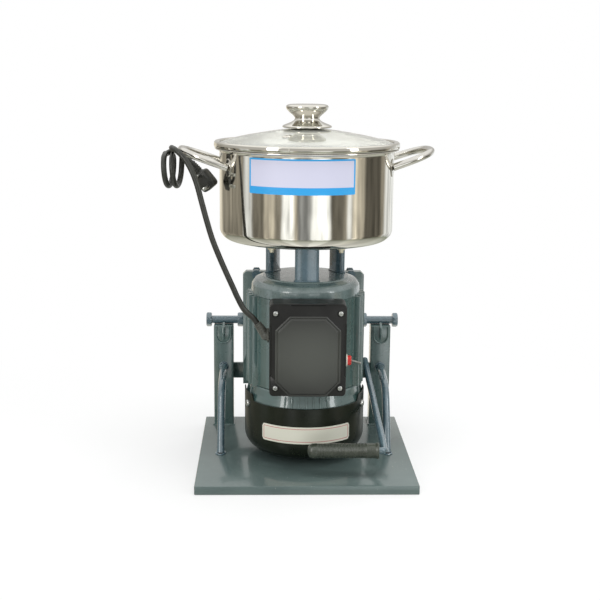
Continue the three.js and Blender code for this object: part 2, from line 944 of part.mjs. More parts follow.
// Upper end shield
{
  const shoulder_z = frame_top + upper_shield_shoulder;
  const slope_width = upper_shield_radius - disc_radius;
  const slope_height = disc_top - disc_edge - shoulder_z;
  const spigot_radius = frame_bore / 2 - clearance;
  const ceiling = disc_top - shield_wall;
  const inner_radius = spigot_radius - shield_wall;
  const profile = [
    [shaft_passage, disc_top],
    [disc_radius - disc_edge, disc_top],
    [disc_radius, disc_top - disc_edge / 2],
    ...shoulder_profile_shares.map(([out, up]) => [
      disc_radius + slope_width * out, shoulder_z + slope_height * up,
    ]).reverse(),
    [upper_shield_radius, frame_top],
    [spigot_radius, frame_top],
    [spigot_radius, frame_top - shield_spigot],
    [inner_radius, frame_top - shield_spigot],
    [inner_radius, frame_top + shield_wall],
    [disc_radius - 2 * shield_wall, ceiling],
    [pocket_outer, ceiling],
    [pocket_outer, upper_bearing_bottom],
    [pocket_radius, upper_bearing_bottom],
    [pocket_radius, ceiling],
    [shaft_passage, ceiling],
    [shaft_passage, disc_top],
  ];
  piece(swinging, 'upper_end_shield', turned(profile, fine_sides), steelPaint());
}

// Lower end shield with its ring of cast ribs
{
  const spigot_radius = frame_bore / 2 - clearance;
  const inner_radius = spigot_radius - shield_wall;
  const floor = lower_shield_bottom + shield_wall;
  const rim_inner = lower_shield_radius - shield_wall;
  const body = turned([
    [shaft_passage, lower_shield_bottom + clearance],
    [rim_inner + clearance, lower_shield_bottom + clearance],
    [rim_inner + clearance, frame_bottom - clearance],
    [spigot_radius, frame_bottom - clearance],
    [spigot_radius, frame_bottom + shield_spigot],
    [inner_radius, frame_bottom + shield_spigot],
    [inner_radius, floor],
    [pocket_outer, floor],
    [pocket_outer, floor + bearing_width + clearance],
    [pocket_radius, floor + bearing_width + clearance],
    [pocket_radius, floor],
    [shaft_passage, floor],
    [shaft_passage, lower_shield_bottom + clearance],
  ], medium_sides);
  const rib_outline = [];
  const rib_step = 360 / lower_rib_count;
  const rib_tip = lower_shield_radius + lower_rib_height;
  const half = THREE.MathUtils.radToDeg(lower_rib_width / 2 / rib_tip);
  for (let i = 0; i < lower_rib_count; i += 1) {
    const middle = rib_step * i;
    rib_outline.push(planPoint(lower_shield_radius, middle - half), planPoint(rib_tip, middle - half));
    rib_outline.push(planPoint(rib_tip, middle + half), planPoint(lower_shield_radius, middle + half));
  }
  const ribs = prism(rib_outline, lower_shield_bottom, frame_bottom, [
    circlePoints(rim_inner, medium_sides),
  ]);
  const holes = [];
  const pads = [];
  for (const side of [-1, 1]) {
    const [x, y] = planPoint(1, side * cowl_screw_angle);
    const pad = block(
      [-lower_screw_pad_width / 2, -lower_screw_pad_width / 2, lower_shield_radius - shield_wall],
      [lower_screw_pad_width / 2, lower_screw_pad_width / 2, rib_tip - clearance],
    );
    const pad_limit = ring(lower_shield_radius - shield_wall, rib_tip, lower_shield_bottom, frame_bottom,
      fine_sides);
    pads.push(common(aimed(pad, [x, y, 0], [0, 0, cowl_screw_height]), pad_limit));
    const hole = rod(cowl_screw_diameter / 2 + clearance, frame_bore / 2, rib_tip + overrun, screw_sides);
    holes.push(aimed(hole, [x, y, 0], [0, 0, cowl_screw_height]));
  }
  piece(swinging, 'lower_end_shield', build([body, ribs, ...pads], holes), steelPaint());
}

// Ball bearings, as plain rings
function bearing(bottom) {
  return ring(bearing_bore / 2 + clearance, bearing_radius, bottom, bottom + bearing_width, medium_sides);
}
piece(swinging, 'upper_bearing', bearing(upper_bearing_bottom), castMetal());
piece(swinging, 'lower_bearing', bearing(lower_bearing_bottom), castMetal());

// Stator core and the winding that runs through its slots
{
  const stator_top = stator_bottom + stator_length;
  const core = ring(stator_bore / 2, frame_bore / 2 - clearance, stator_bottom, stator_top, fine_sides);
  const slots = [];
  const bars = [];
  for (let i = 0; i < slot_count; i += 1) {
    const slot = block(
      [slot_inner, -slot_width / 2, stator_bottom - overrun],
      [slot_inner + slot_depth, slot_width / 2, stator_top + overrun],
    );
    const wire = block(
      [slot_inner + clearance, -slot_width / 2 + clearance, stator_bottom - winding_overhang / 2],
      [slot_inner + slot_depth - clearance, slot_width / 2 - clearance, stator_top + winding_overhang / 2],
    );
    slots.push(turnedAboutZ(slot, 360 * i / slot_count));
    bars.push(turnedAboutZ(wire, 360 * i / slot_count));
  }
  piece(swinging, 'stator_core', build([core], slots), castMetal());
  const soft = (winding_outer - winding_inner) * winding_round_share;
  const low = stator_bottom - clearance;
  const high = stator_top + clearance;
  const endTurn = (near, far) => turned([
    [winding_inner, near], [winding_outer, near],
    [winding_outer, far + Math.sign(near - far) * soft], [winding_outer - soft, far],
    [winding_inner, far], [winding_inner, near],
  ], medium_sides);
  piece(swinging, 'stator_winding', build([
    endTurn(low, low - winding_overhang),
    endTurn(high, high + winding_overhang),
    ...bars,
  ]), copper());
}

// Rotor, shaft and fan turn together
{
  const rotor_radius = stator_bore / 2 - air_gap;
  const top = stator_bottom + stator_length;
  const bore = shaft_radius + clearance;
  const ring_outer = rotor_radius - rotor_ring_inset;
  piece(rotating, 'rotor_core', turned([
    [bore, stator_bottom], [rotor_ring_inner, stator_bottom],
    [rotor_ring_inner, stator_bottom - rotor_ring_height], [ring_outer, stator_bottom - rotor_ring_height],
    [ring_outer, stator_bottom], [rotor_radius, stator_bottom], [rotor_radius, top], [ring_outer, top],
    [ring_outer, top + rotor_ring_height], [rotor_ring_inner, top + rotor_ring_height],
    [rotor_ring_inner, top], [bore, top], [bore, stator_bottom],
  ], medium_sides), castMetal());
}

// Seal, blade and nut heights follow from the floor of the pot
const seal_top = pot_floor + clearance + seal_flange_height;
const blade_bottom = seal_top + clearance;
const blade_top = blade_bottom + blade_hub_height;
const shaft_top = blade_top + shaft_thread_length;
{
  const fan_radius_seat = fan_seat_diameter / 2;
  const fan_shoulder = fan_bottom + fan_blade_height + fan_disc_thickness + clearance;
  const blade_radius = blade_seat_diameter / 2;
  const thread_radius = shaft_thread_diameter / 2;
  piece(rotating, 'motor_shaft', turned([
    [0, shaft_bottom],
    [fan_radius_seat, shaft_bottom],
    [fan_radius_seat, fan_shoulder],
    [shaft_radius, fan_shoulder],
    [shaft_radius, disc_top],
    [shaft_end_radius, disc_top],
    [shaft_end_radius, seal_top],
    [blade_radius, seal_top],
    [blade_radius, blade_top],
    [thread_radius, blade_top],
    [thread_radius, shaft_top],
    [0, shaft_top],
  ], medium_sides), stainless());

  const blade_base = fan_bottom;
  const fan_top = fan_bottom + fan_blade_height + fan_disc_thickness;
  const blades = [];
  for (let i = 0; i < fan_blade_count; i += 1) {
    const blade = block(
      [fan_hub_radius - fan_disc_thickness, -fan_blade_thickness / 2, blade_base],
      [fan_radius, fan_blade_thickness / 2, fan_top - fan_disc_thickness / 2],
    );
    blades.push(turnedAboutZ(blade, 360 * i / fan_blade_count));
  }
  piece(rotating, 'cooling_fan', build([
    rod(fan_hub_radius, fan_bottom, fan_top, medium_sides),
    rod(fan_radius, fan_top - fan_disc_thickness, fan_top, medium_sides),
    ...blades,
  ], [
    rod(fan_radius_seat + clearance, fan_bottom - overrun, fan_top + overrun, medium_sides),
  ]), blackPlastic());
}

// Fan cowl with its two ears and the grille under the fan
{
  const inner = cowl_radius - cowl_wall;
  const full_top = cowl_top + cowl_ear_rise;
  const outside = [];
  const inside = [];
  for (let i = 0; i <= cowl_corner_steps; i += 1) {
    const angle = RIGHT_ANGLE * i / cowl_corner_steps;
    const out = Math.sin(angle);
    const up = 1 - Math.cos(angle);
    const flat = cowl_radius - cowl_corner;
    outside.push([flat + cowl_corner * out, cowl_bottom + cowl_corner * up]);
    inside.push([
      flat + (cowl_corner - cowl_wall) * out, cowl_bottom + cowl_wall + (cowl_corner - cowl_wall) * up,
    ]);
  }
  const shell = turned([
    [0, cowl_bottom], ...outside, [cowl_radius, full_top], [inner, full_top],
    ...inside.reverse(), [0, cowl_bottom + cowl_wall],
  ], fine_sides);
  const sector = (from, to) => {
    const points = [[0, 0]];
    const steps = 8;
    for (let i = 0; i <= steps; i += 1) {
      points.push(planPoint(2 * cowl_radius, from + (to - from) * i / steps));
    }
    return prism(points, cowl_top, full_top + overrun);
  };
  const slots = [];
  for (let i = 0; i < cowl_slot_count; i += 1) {
    slots.push(turnedAboutZ(block(
      [cowl_slot_inner, -cowl_slot_width / 2, cowl_bottom - overrun],
      [cowl_slot_outer, cowl_slot_width / 2, cowl_bottom + cowl_wall + overrun],
    ), 360 * i / cowl_slot_count));
  }
  const holes = [-1, 1].map((side) => {
    const [x, y] = planPoint(1, side * cowl_screw_angle);
    const hole = rod(cowl_screw_diameter / 2 + clearance, inner - overrun, cowl_radius + overrun, screw_sides);
    return aimed(hole, [x, y, 0], [0, 0, cowl_screw_height]);
  });
  piece(swinging, 'fan_cowl', build([shell], [
    sector(-cowl_ear_start, cowl_ear_start),
    sector(cowl_ear_end, 180),
    sector(180, 360 - cowl_ear_end),
    ...slots,
    ...holes,
  ]), darkPaint());

  const screw = build([
    turned([
      [0, cowl_radius + clearance],
      [cowl_screw_head / 2, cowl_radius + clearance],
      [cowl_screw_head / 2 - cowl_screw_head_thickness / 3,
        cowl_radius + clearance + cowl_screw_head_thickness * 2 / 3],
      [0, cowl_radius + clearance + cowl_screw_head_thickness],
    ], screw_sides),
    rod(cowl_screw_diameter / 2, cowl_radius - cowl_screw_length, cowl_radius + cowl_wall, screw_sides),
  ]);
  for (const [side, word] of [[-1, 'left'], [1, 'right']]) {
    const [x, y] = planPoint(1, side * cowl_screw_angle);
    piece(swinging, `cowl_screw_${word}`, aimed(screw, [x, y, 0], [0, 0, cowl_screw_height]), zinc());
  }
}

// Terminal box, open to the front, with a screw post in each corner
const box_x = box_width / 2;
const box_back = -box_seat_face - clearance;
const box_front = box_back - box_depth;
const switch_y = box_back - switch_setback;
const switch_z = box_bottom + switch_height;
const gland_y = box_back - gland_setback;
const gland_z = box_bottom + gland_height;
const screw_places = [];
for (const height of [cover_screw_low, cover_screw_high]) {
  for (const side of [-1, 1]) {
    screw_places.push([side * cover_screw_spacing_across / 2, box_bottom + height]);
  }
}
{
  const middle = box_bottom + box_height / 2;
  const hollow_points = roundedRectangle(box_width - 2 * box_wall, box_height - 2 * box_wall, box_wall);
  const shell = moved(
    frontPrism(roundedRectangle(box_width, box_height, box_edge), box_front, box_back), 0, 0, middle,
  );
  const hollow = moved(frontPrism(hollow_points, box_front - overrun, box_back - box_wall), 0, 0, middle);
  const posts = screw_places.map(([x, z]) => aimed(
    rod(box_post_diameter / 2, 0, box_depth - box_wall / 2, screw_sides),
    [0, -1, 0], [x, box_back - box_wall / 2, z],
  ));
  const trimmed_posts = posts.map((post) => common(post, block(
    [-box_x, box_front, box_bottom], [box_x, box_back, box_bottom + box_height],
  )));
  const screw_holes = screw_places.map(([x, z]) => aimed(
    rod(cover_screw_diameter / 2 + clearance, -overrun, cover_screw_length, screw_sides),
    [0, 1, 0], [x, box_front, z],
  ));
  const switch_hole = aimed(
    rod(switch_bushing_diameter / 2 + clearance, -overrun - box_wall, overrun, small_sides),
    [1, 0, 0], [box_x, switch_y, switch_z],
  );
  const gland_hole = aimed(
    rod(gland_neck_diameter / 2 + clearance, -overrun - box_wall, overrun, small_sides),
    [-1, 0, 0], [-box_x, gland_y, gland_z],
  );
  const wire_hole = aimed(
    rod(wire_hole_diameter / 2, -overrun, box_wall + overrun, small_sides), [0, -1, 0], [0, box_back, middle],
  );
  const carcass = build([shell], [hollow]);
  piece(swinging, 'terminal_box', build(
    [carcass, ...trimmed_posts], [...screw_holes, switch_hole, gland_hole, wire_hole],
  ), blackPlastic());

  const cover_face = box_front - cover_thickness;
  const sheet = moved(
    frontPrism(roundedRectangle(box_width, box_height, box_edge), cover_face, box_front), 0, 0, middle,
  );
  const panel = moved(
    frontPrism(chamferedRectangle(panel_width, panel_height, panel_corner), cover_face - panel_rise, box_front),
    0, 0, box_bottom + panel_height / 2,
  );
  const cover_holes = screw_places.map(([x, z]) => aimed(
    rod(cover_screw_diameter / 2 + clearance, -cover_thickness - overrun, overrun, screw_sides),
    [0, 1, 0], [x, box_front, z],
  ));
  piece(swinging, 'terminal_box_cover', build([sheet, panel], cover_holes), blackPlastic());

  const head_base = clearance;
  const screw = build([
    turned([
      [0, head_base],
      [cover_screw_head / 2, head_base],
      [cover_screw_head / 2 - cover_screw_head_thickness / 3, head_base + cover_screw_head_thickness * 2 / 3],
      [0, head_base + cover_screw_head_thickness],
    ], screw_sides),
    rod(cover_screw_diameter / 2, -cover_screw_length + cover_thickness, head_base * 2, screw_sides),
  ]);
  screw_places.forEach(([x, z], i) => {
    piece(swinging, `cover_screw_${i + 1}`, aimed(screw, [0, -1, 0], [x, cover_face, z]), zinc());
  });
}

// Run capacitor, clipped to the back wall of the box
piece(swinging, 'run_capacitor', moved(
  rod(capacitor_diameter / 2, capacitor_bottom, capacitor_bottom + capacitor_length, small_sides),
  -capacitor_offset, box_back - box_wall - clearance - capacitor_diameter / 2, 0,
), blackPlastic());

// Toggle switch: body inside, flange and collar outside, and the bat
{
  const inner_face = -box_wall - clearance;
  const collar_end = clearance + switch_flange_thickness + switch_collar_length;
  const body = build([
    block(
      [-switch_body_height / 2, -switch_body_width / 2, inner_face - switch_body_depth],
      [switch_body_height / 2, switch_body_width / 2, inner_face],
    ),
    rod(switch_bushing_diameter / 2, inner_face - clearance, clearance * 2, small_sides),
    rod(switch_flange_diameter / 2, clearance, clearance + switch_flange_thickness, small_sides),
    rod(switch_collar_diameter / 2, clearance + switch_flange_thickness / 2, collar_end, small_sides),
  ], [
    new THREE.SphereGeometry(toggle_ball_diameter / 2 + clearance, screw_sides, screw_sides)
      .translate(0, 0, collar_end),
  ]);
  piece(swinging, 'switch_body', aimed(body, [1, 0, 0], [box_x, switch_y, switch_z]), redPlastic());

  const bat = build([
    new THREE.SphereGeometry(toggle_ball_diameter / 2, screw_sides, screw_sides),
    turned([
      [0, 0], [toggle_diameter / 2, 0], [toggle_tip_diameter / 2, toggle_length - toggle_tip_diameter / 2],
      [toggle_diameter / 2, toggle_length], [0, toggle_length],
    ], screw_sides),
  ]);
  const lean = radians(toggle_angle);
  piece(swinging, 'switch_lever', aimed(
    bat, [Math.cos(lean), 0, -Math.sin(lean)], [box_x + collar_end, switch_y, switch_z],
  ), stainless());
}

// Cable gland with the strain relief boot that the cord leaves through
const boot_lean = radians(gland_boot_angle);
const boot_direction = [-Math.cos(boot_lean), 0, Math.sin(boot_lean)];
const boot_root = [-box_x - clearance - gland_flange_thickness - gland_neck_length, gland_y, gland_z];
const boot_tip = boot_root.map((value, axis) => value + gland_boot_length * boot_direction[axis]);
{
  const flange = aimed(build([
    rod(gland_neck_diameter / 2, -box_wall - clearance - overrun, clearance * 2, small_sides),
    hexagon(gland_flange_diameter, clearance, clearance + gland_flange_thickness),
    rod(gland_boot_root_diameter / 2, clearance, clearance + gland_flange_thickness + gland_neck_length,
      small_sides),
  ]), [-1, 0, 0], [-box_x, gland_y, gland_z]);
  const knuckle = new THREE.SphereGeometry(gland_boot_root_diameter / 2, small_sides, knuckle_rings);
  knuckle.translate(...boot_root);
  const boot = aimed(turned([
    [0, 0], [gland_boot_root_diameter / 2, 0], [gland_boot_tip_diameter / 2, gland_boot_length],
    [0, gland_boot_length],
  ], small_sides), boot_direction, boot_root);
  piece(swinging, 'cable_gland', build([flange, knuckle, boot]), rubber());
}

// Tilt lever: a bent rod from the side of the bracket to the grip in front of the cowl
{
  const radius = lever_diameter / 2;
  const start_x = bracket_x + clearance + radius;
  const rise = lever_start_height - lever_bend_height;
  const bend = lever_bend_radius;
  const early = lever_bend_early_share;
  const late = lever_bend_late_share;
  const along = lever_start_setback + lever_front - bend;
  const slope = rise / along;
  const points = [
    [start_x, lever_start_setback, lever_start_height],
    [start_x + (lever_bend_offset - start_x) / 3, lever_start_setback - along / 3,
      lever_start_height - rise / 3],
    [start_x + (lever_bend_offset - start_x) * 2 / 3, lever_start_setback - along * 2 / 3,
      lever_start_height - rise * 2 / 3],
    [lever_bend_offset, -lever_front + bend + bend / 3, lever_bend_height + slope * bend / 3],
    [lever_bend_offset - bend * early, -lever_front + bend * late, lever_bend_height],
    [lever_bend_offset - bend * late, -lever_front + bend * early, lever_bend_height],
    [lever_bend_offset - bend, -lever_front, lever_bend_height],
    [lever_bend_offset - bend * 2, -lever_front, lever_bend_height],
    [(lever_bend_offset + grip_left_end) / 2, -lever_front, lever_bend_height],
    [grip_left_end + grip_end_wall + clearance, -lever_front, lever_bend_height],
  ];
  piece(swinging, 'tilt_lever', bar(points, radius, bar_sides, lever_steps), steelPaint());

  const outer = grip_diameter / 2;
  const bead = grip_bead;
  const soft = grip_round * grip_round_share;
  const grip = build([turned([
    [0, 0], [outer - grip_round, 0], [outer - soft, soft], [outer, grip_round],
    [outer, grip_length - 3 * bead], [outer + bead, grip_length - 2 * bead], [outer + bead, grip_length],
    [0, grip_length],
  ], small_sides)], [
    rod((radius + clearance) / Math.cos(Math.PI / bar_sides), grip_end_wall, grip_length + overrun, bar_sides),
  ]);
  piece(swinging, 'lever_grip', aimed(grip, [1, 0, 0], [grip_left_end, -lever_front, lever_bend_height]),
    rubber());
}

// Posts between the motor and the pot plate, one of them at the front
{
  const names = ['post_front', 'post_right', 'post_left'];
  const section = roundedRectangle(post_width, post_thickness, post_round);
  for (let i = 0; i < post_count; i += 1) {
    const column = prism(section, disc_top, disc_top + post_height);
    column.translate(0, -post_circle / 2, 0);
    piece(swinging, names[i] ?? `post_${i + 1}`, turnedAboutZ(column, 360 * i / post_count), steelPaint());
  }
}

// Pot plate, with a bolt between each pair of posts
const pot_bolt_angles = Array.from({ length: post_count }, (_, i) => (360 * i + 180) / post_count);
function potBoltHole(bottom, top, radius) {
  return pot_bolt_angles.map((angle) => {
    const [x, y] = planPoint(pot_bolt_circle / 2, angle);
    return moved(rod(radius, bottom - overrun, top + overrun, screw_sides), x, y, 0);
  });
}
{
  const hole = pot_bolt_diameter / 2 + clearance;
  const seal_hole = seal_outer_diameter / 2 + clearance;
  piece(swinging, 'pot_mount_plate', build([
    ring(seal_hole, pot_plate_radius, pot_plate_bottom, pot_bottom, fine_sides),
  ], potBoltHole(pot_plate_bottom, pot_bottom, hole)), steelPaint());

  const bolt = build([
    turned([
      [0, pot_floor + clearance], [pot_bolt_head / 2, pot_floor + clearance],
      [pot_bolt_head / 3, pot_floor + clearance + pot_bolt_head_thickness],
      [0, pot_floor + clearance + pot_bolt_head_thickness],
    ], screw_sides),
    rod(pot_bolt_diameter / 2, pot_plate_bottom - pot_nut_thickness - pot_bolt_tail, pot_floor + 2 * clearance,
      screw_sides),
    hexagon(pot_nut_flats, pot_plate_bottom - clearance - pot_nut_thickness, pot_plate_bottom - clearance),
  ]);
  pot_bolt_angles.forEach((angle, i) => {
    const [x, y] = planPoint(pot_bolt_circle / 2, angle);
    piece(swinging, `pot_bolt_${i + 1}`, moved(bolt, x, y, 0), zinc());
  });
}

// Pot body
{
  const outside = [];
  const inside = [];
  for (let i = 0; i <= pot_corner_steps; i += 1) {
    const angle = RIGHT_ANGLE * i / pot_corner_steps;
    const out = Math.sin(angle);
    const up = 1 - Math.cos(angle);
    outside.push([pot_radius - pot_corner + pot_corner * out, pot_bottom + pot_corner * up]);
    const small = pot_corner - pot_wall;
    inside.push([pot_radius - pot_corner + small * out, pot_floor + small * up]);
  }
  const inner = pot_radius - pot_wall;
  const seal_hole = seal_outer_diameter / 2 + clearance;
  const lip_bottom = pot_rim - pot_lip_height;
  const profile = [
    [seal_hole, pot_bottom], ...outside,
    [pot_radius, lip_bottom - pot_lip_flare], [pot_radius + pot_wall, lip_bottom],
    [pot_lip_radius, lip_bottom], [pot_lip_radius, pot_rim], [inner, pot_rim],
    ...inside.reverse(), [seal_hole, pot_floor], [seal_hole, pot_bottom],
  ];
  piece(swinging, 'pot_body', build(
    [turned(profile, fine_sides)],
    potBoltHole(pot_bottom, pot_floor, pot_bolt_diameter / 2 + clearance),
  ), stainless());
}

// Pot handles: a bent bar on two pads that hug the wall
{
  const radius = handle_diameter / 2;
  const root_z = pot_bottom + handle_root_height;
  const wall = pot_radius + clearance;
  const half_span = handle_span / 2;
  const root_u = Math.sqrt(wall * wall - half_span * half_span);
  const reach = handle_reach - radius - root_u;
  const climb = Math.tan(radians(handle_slope));
  const place = (forward, across) => [root_u + reach * forward, half_span * across,
    root_z + reach * forward * climb];
  const half = handle_route_shares.map(([forward, across]) => place(forward, across));
  const inward = [root_u - handle_diameter, half_span, root_z - handle_diameter * climb];
  const points = [
    inward, ...half, place(1, 0), ...half.map(([u, v, z]) => [u, -v, z]).reverse(),
    [inward[0], -inward[1], inward[2]],
  ];
  const loop = bar(points, radius, handle_sides, handle_steps);
  const shell_top = pot_rim - pot_lip_height - pot_lip_flare;
  const pot_space = turnedAboutZ(
    rod(wall, pot_bottom, pot_rim + handle_pad_height, fine_sides), -handle_turn,
  );
  const shell = turnedAboutZ(
    ring(wall, wall + handle_pad_thickness, pot_bottom, shell_top, fine_sides), -handle_turn,
  );
  const pads = [-1, 1].map((side) => {
    const oval = rod(1, 0, pot_radius + handle_reach, small_sides);
    oval.scale(handle_pad_height / 2, handle_pad_width / 2, 1);
    return common(aimed(oval, [1, 0, 0], [0, side * half_span, root_z]), shell);
  });
  const handle = build([fromManifold(toManifold(loop).subtract(toManifold(pot_space))), ...pads]);
  piece(swinging, 'pot_handle_right', turnedAboutZ(handle, handle_turn), stainless());
  piece(swinging, 'pot_handle_left', turnedAboutZ(handle, 180 + handle_turn), stainless());
}

// Shaft seal
{
  const inner = shaft_end_radius + clearance;
  const outer = seal_outer_diameter / 2;
  const flange = seal_flange_diameter / 2;
  const flange_bottom = pot_floor + clearance;
  piece(swinging, 'shaft_seal', turned([
    [inner, pot_plate_bottom], [outer, pot_plate_bottom], [outer, flange_bottom], [flange, flange_bottom],
    [flange, seal_top - seal_flange_round], [flange - seal_flange_round, seal_top], [inner, seal_top],
    [inner, pot_plate_bottom],
  ], medium_sides), rubber());
}

// Chopping blade: a hub with two swept arms low in the pot and two higher ones
{
  const arm = (level, turn) => {
    const root = blade_root_width / 2;
    const tip = blade_tip_width / 2;
    const shape = prism([
      [0, -root], [blade_reach / 2, -root - blade_sweep / 3], [blade_reach, -blade_sweep / 4 - tip],
      [blade_reach - tip, -blade_sweep / 4 + tip], [blade_reach / 2, root - blade_sweep / 2], [0, root],
    ], blade_bottom + level, blade_bottom + level + blade_thickness);
    return turnedAboutZ(shape, turn);
  };
  const low = blade_hub_height * blade_level_low_share;
  const high = blade_hub_height * blade_level_high_share;
  piece(rotating, 'chopping_blade', build([
    rod(blade_hub_diameter / 2, blade_bottom, blade_top - clearance, medium_sides),
    arm(low, 0), arm(low, 180), arm(high, 90), arm(high, 270),
  ], [
    rod(blade_seat_diameter / 2 + clearance, blade_bottom - overrun, blade_top + overrun, small_sides),
  ]), stainless());

  const nut_radius = blade_nut_diameter / 2;
  const nut_top = blade_top + clearance + blade_nut_height;
  const nut_bottom = blade_top + clearance;
  piece(rotating, 'blade_nut', build([turned([
    [0, nut_bottom], [nut_radius, nut_bottom], [nut_radius, nut_top - blade_nut_round],
    [nut_radius - blade_nut_round, nut_top], [0, nut_top],
  ], 6)], [
    rod(shaft_thread_diameter / 2 + clearance, nut_bottom - overrun, shaft_top + clearance, small_sides),
  ]), stainless());
}

// Lid: steel rim, domed glass and the steel knob with its washer under the glass
{
  const bottom = pot_rim + clearance;
  const top = bottom + lid_rim_height;
  const inner = lid_rim_radius - lid_rim_width;
  const glass_radius = lid_rim_radius - lid_rim_lip - clearance;
  const glass_top = top - lid_rim_lip - clearance;
  const glass_bottom = glass_top - glass_thickness;
  const groove_bottom = glass_bottom - clearance;
  const groove_top = top - lid_rim_lip;
  const groove_wall = lid_rim_radius - lid_rim_lip;
  const skirt_outer = pot_radius - pot_wall - 2 * clearance;
  const skirt_inner = skirt_outer - lid_rim_skirt_wall;
  const soften = lid_rim_lip / 2;
  piece(lid, 'lid_rim', turned([
    [skirt_inner, bottom - lid_rim_skirt], [skirt_outer, bottom - lid_rim_skirt], [skirt_outer, bottom],
    [lid_rim_radius, bottom], [lid_rim_radius, top - soften], [lid_rim_radius - soften, top],
    [inner + soften, top], [inner, groove_top], [groove_wall, groove_top], [groove_wall, groove_bottom],
    [skirt_inner, groove_bottom], [skirt_inner, bottom - lid_rim_skirt],
  ], fine_sides), stainless());

  const hole = glass_hole / 2;
  const flat_radius = glass_radius - glass_edge_flat;
  const dome = glass_profile_shares.map(([out, up]) => [flat_radius * out, glass_top + glass_rise * up]);
  const crown = [hole, glass_top + glass_rise];
  const upper = [[glass_radius, glass_top], [flat_radius, glass_top], ...dome, crown];
  const lower = upper.map(([radius, height]) => [radius, height - glass_thickness]).reverse();
  piece(lid, 'lid_glass', turned([...upper, ...lower, upper[0]], fine_sides), clearGlass());

  const knob_bottom = glass_top + glass_rise + clearance;
  const washer_top = glass_top + glass_rise - glass_thickness - clearance
    - glass_rise * (1 - glass_profile_shares[glass_profile_shares.length - 1][1]);
  piece(lid, 'lid_knob', build([
    turned([
      [0, knob_bottom],
      ...knob_profile_shares.map(([out, up]) => [knob_base_radius * out, knob_bottom + knob_height * up]),
      [0, knob_bottom + knob_height],
    ], medium_sides),
    rod(knob_stem_diameter / 2, washer_top - knob_washer_thickness / 2, knob_bottom + knob_washer_thickness,
      small_sides),
  ]), stainless());
}

// Power cord
function stepFrom(point, direction, length) {
  const towards = new THREE.Vector3(...direction).normalize();
  return point.map((value, axis) => value + length * towards.getComponent(axis));
}
{
  const radius = cord_diameter / 2;
  const hang = new THREE.Group();
  swinging.add(hang);

  // The turns start at the top of the outer one and travel towards the front
  const coilPoint = (turn) => {
    const angle = FULL_TURN * turn;
    return [
      coil_start[0] + coil_pitch * turn - coil_slant * Math.sin(angle) / 2,
      coil_start[1] - coil_radius_across * Math.sin(angle),
      coil_start[2] + coil_radius_high * Math.cos(angle),
    ];
  };
  const turn_step = 1 / coil_steps_per_turn;
  const turns = [];
  for (let turn = 0; turn <= coil_turns; turn += turn_step) turns.push(coilPoint(turn));
  const direction_between = (from, to) => to.map((value, axis) => value - from[axis]);
  const entry = direction_between(turns[1], turns[0]);
  const leave = direction_between(turns[turns.length - 2], turns[turns.length - 1]);
  const coil_first = stepFrom(turns[0], entry, cord_diameter);
  const coil_last = stepFrom(turns[turns.length - 1], leave, cord_diameter);
  const coil_points = [coil_first, ...turns, coil_last];
  piece(hang, 'power_cord_coil', sweep(coil_points, radius, coil_sides), rubber());

  let least = Infinity;
  const finer = 4;
  const samples = [];
  for (let turn = 0; turn <= coil_turns; turn += turn_step / finer) samples.push(coilPoint(turn));
  samples.forEach((a, i) => {
    for (let j = i + finer * coil_steps_per_turn / 2; j < samples.length; j += 1) {
      least = Math.min(least, new THREE.Vector3(...a).distanceTo(new THREE.Vector3(...samples[j])));
    }
  });
  console.log(`least gap of the cord's turns to each other: ${(least - cord_diameter).toFixed(2)}`);

  const run_first = stepFrom(boot_tip, boot_direction, clearance);
  const run_last = stepFrom(coil_first, entry, clearance);
  piece(hang, 'power_cord_run', bar([
    run_first,
    stepFrom(run_first, boot_direction, cord_diameter),
    ...cord_route,
    stepFrom(run_last, entry, cord_diameter / 2),
    run_last,
  ], radius, cord_sides, cord_run_steps), rubber());

  const tail_first = stepFrom(coil_last, leave, clearance);
  const away = plug_direction.map((value) => -value);
  const tail_last = stepFrom(plug_start, away, clearance);
  piece(hang, 'power_cord_tail', bar([
    tail_first,
    stepFrom(tail_first, leave, cord_diameter / 2),
    ...tail_route,
    stepFrom(tail_last, away, cord_diameter / 2),
    tail_last,
  ], radius, cord_sides, cord_tail_steps), rubber());

  // The plug is made along +Z from its cable entry, with its pins along -Y
  const face = -plug_body_thickness / 2;
  const middle = plug_neck_length + plug_body_length / 2;
  const body_shape = roundedRectangle(plug_body_width, plug_body_length, plug_corner);
  const thin_shape = roundedRectangle(plug_body_width - 2 * plug_edge, plug_body_length - 2 * plug_edge,
    plug_corner - plug_edge);
  const pins = [-1, 1].map((side) => aimed(
    rod(pin_diameter / 2, 0, pin_length + plug_edge, screw_sides), [0, -1, 0],
    [0, face + plug_edge, middle + side * pin_spacing / 2],
  ));
  const plug = build([
    turned([
      [0, 0], [plug_neck_tip_diameter / 2, 0], [plug_neck_root_diameter / 2, plug_neck_length],
      [plug_neck_root_diameter / 2, plug_neck_length + plug_corner], [0, plug_neck_length + plug_corner],
    ], small_sides),
    moved(frontPrism(body_shape, face + plug_edge, -face - plug_edge), 0, 0, middle),
    moved(frontPrism(thin_shape, face, -face), 0, 0, middle),
    ...pins,
  ]);
  const along = new THREE.Vector3(...plug_direction).normalize();
  const back = new THREE.Vector3(...plug_face).negate();
  back.addScaledVector(along, -back.dot(along)).normalize();
  const across = back.clone().cross(along);
  const placed = plug.clone();
  placed.applyMatrix4(new THREE.Matrix4().makeBasis(across, back, along));
  placed.translate(...plug_start);
  piece(hang, 'power_plug', placed, rubber());
}

export default grinder;
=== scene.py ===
# Looks of the garlic chili grinder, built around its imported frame: the camera, the cord, the
# dressed pieces with their materials, and the studio. Lengths are millimetres in the frame of
# the CAD unless a name says otherwise, and MM turns them into metres.
import math

import bmesh
import bpy
from mathutils import Matrix, Vector, noise


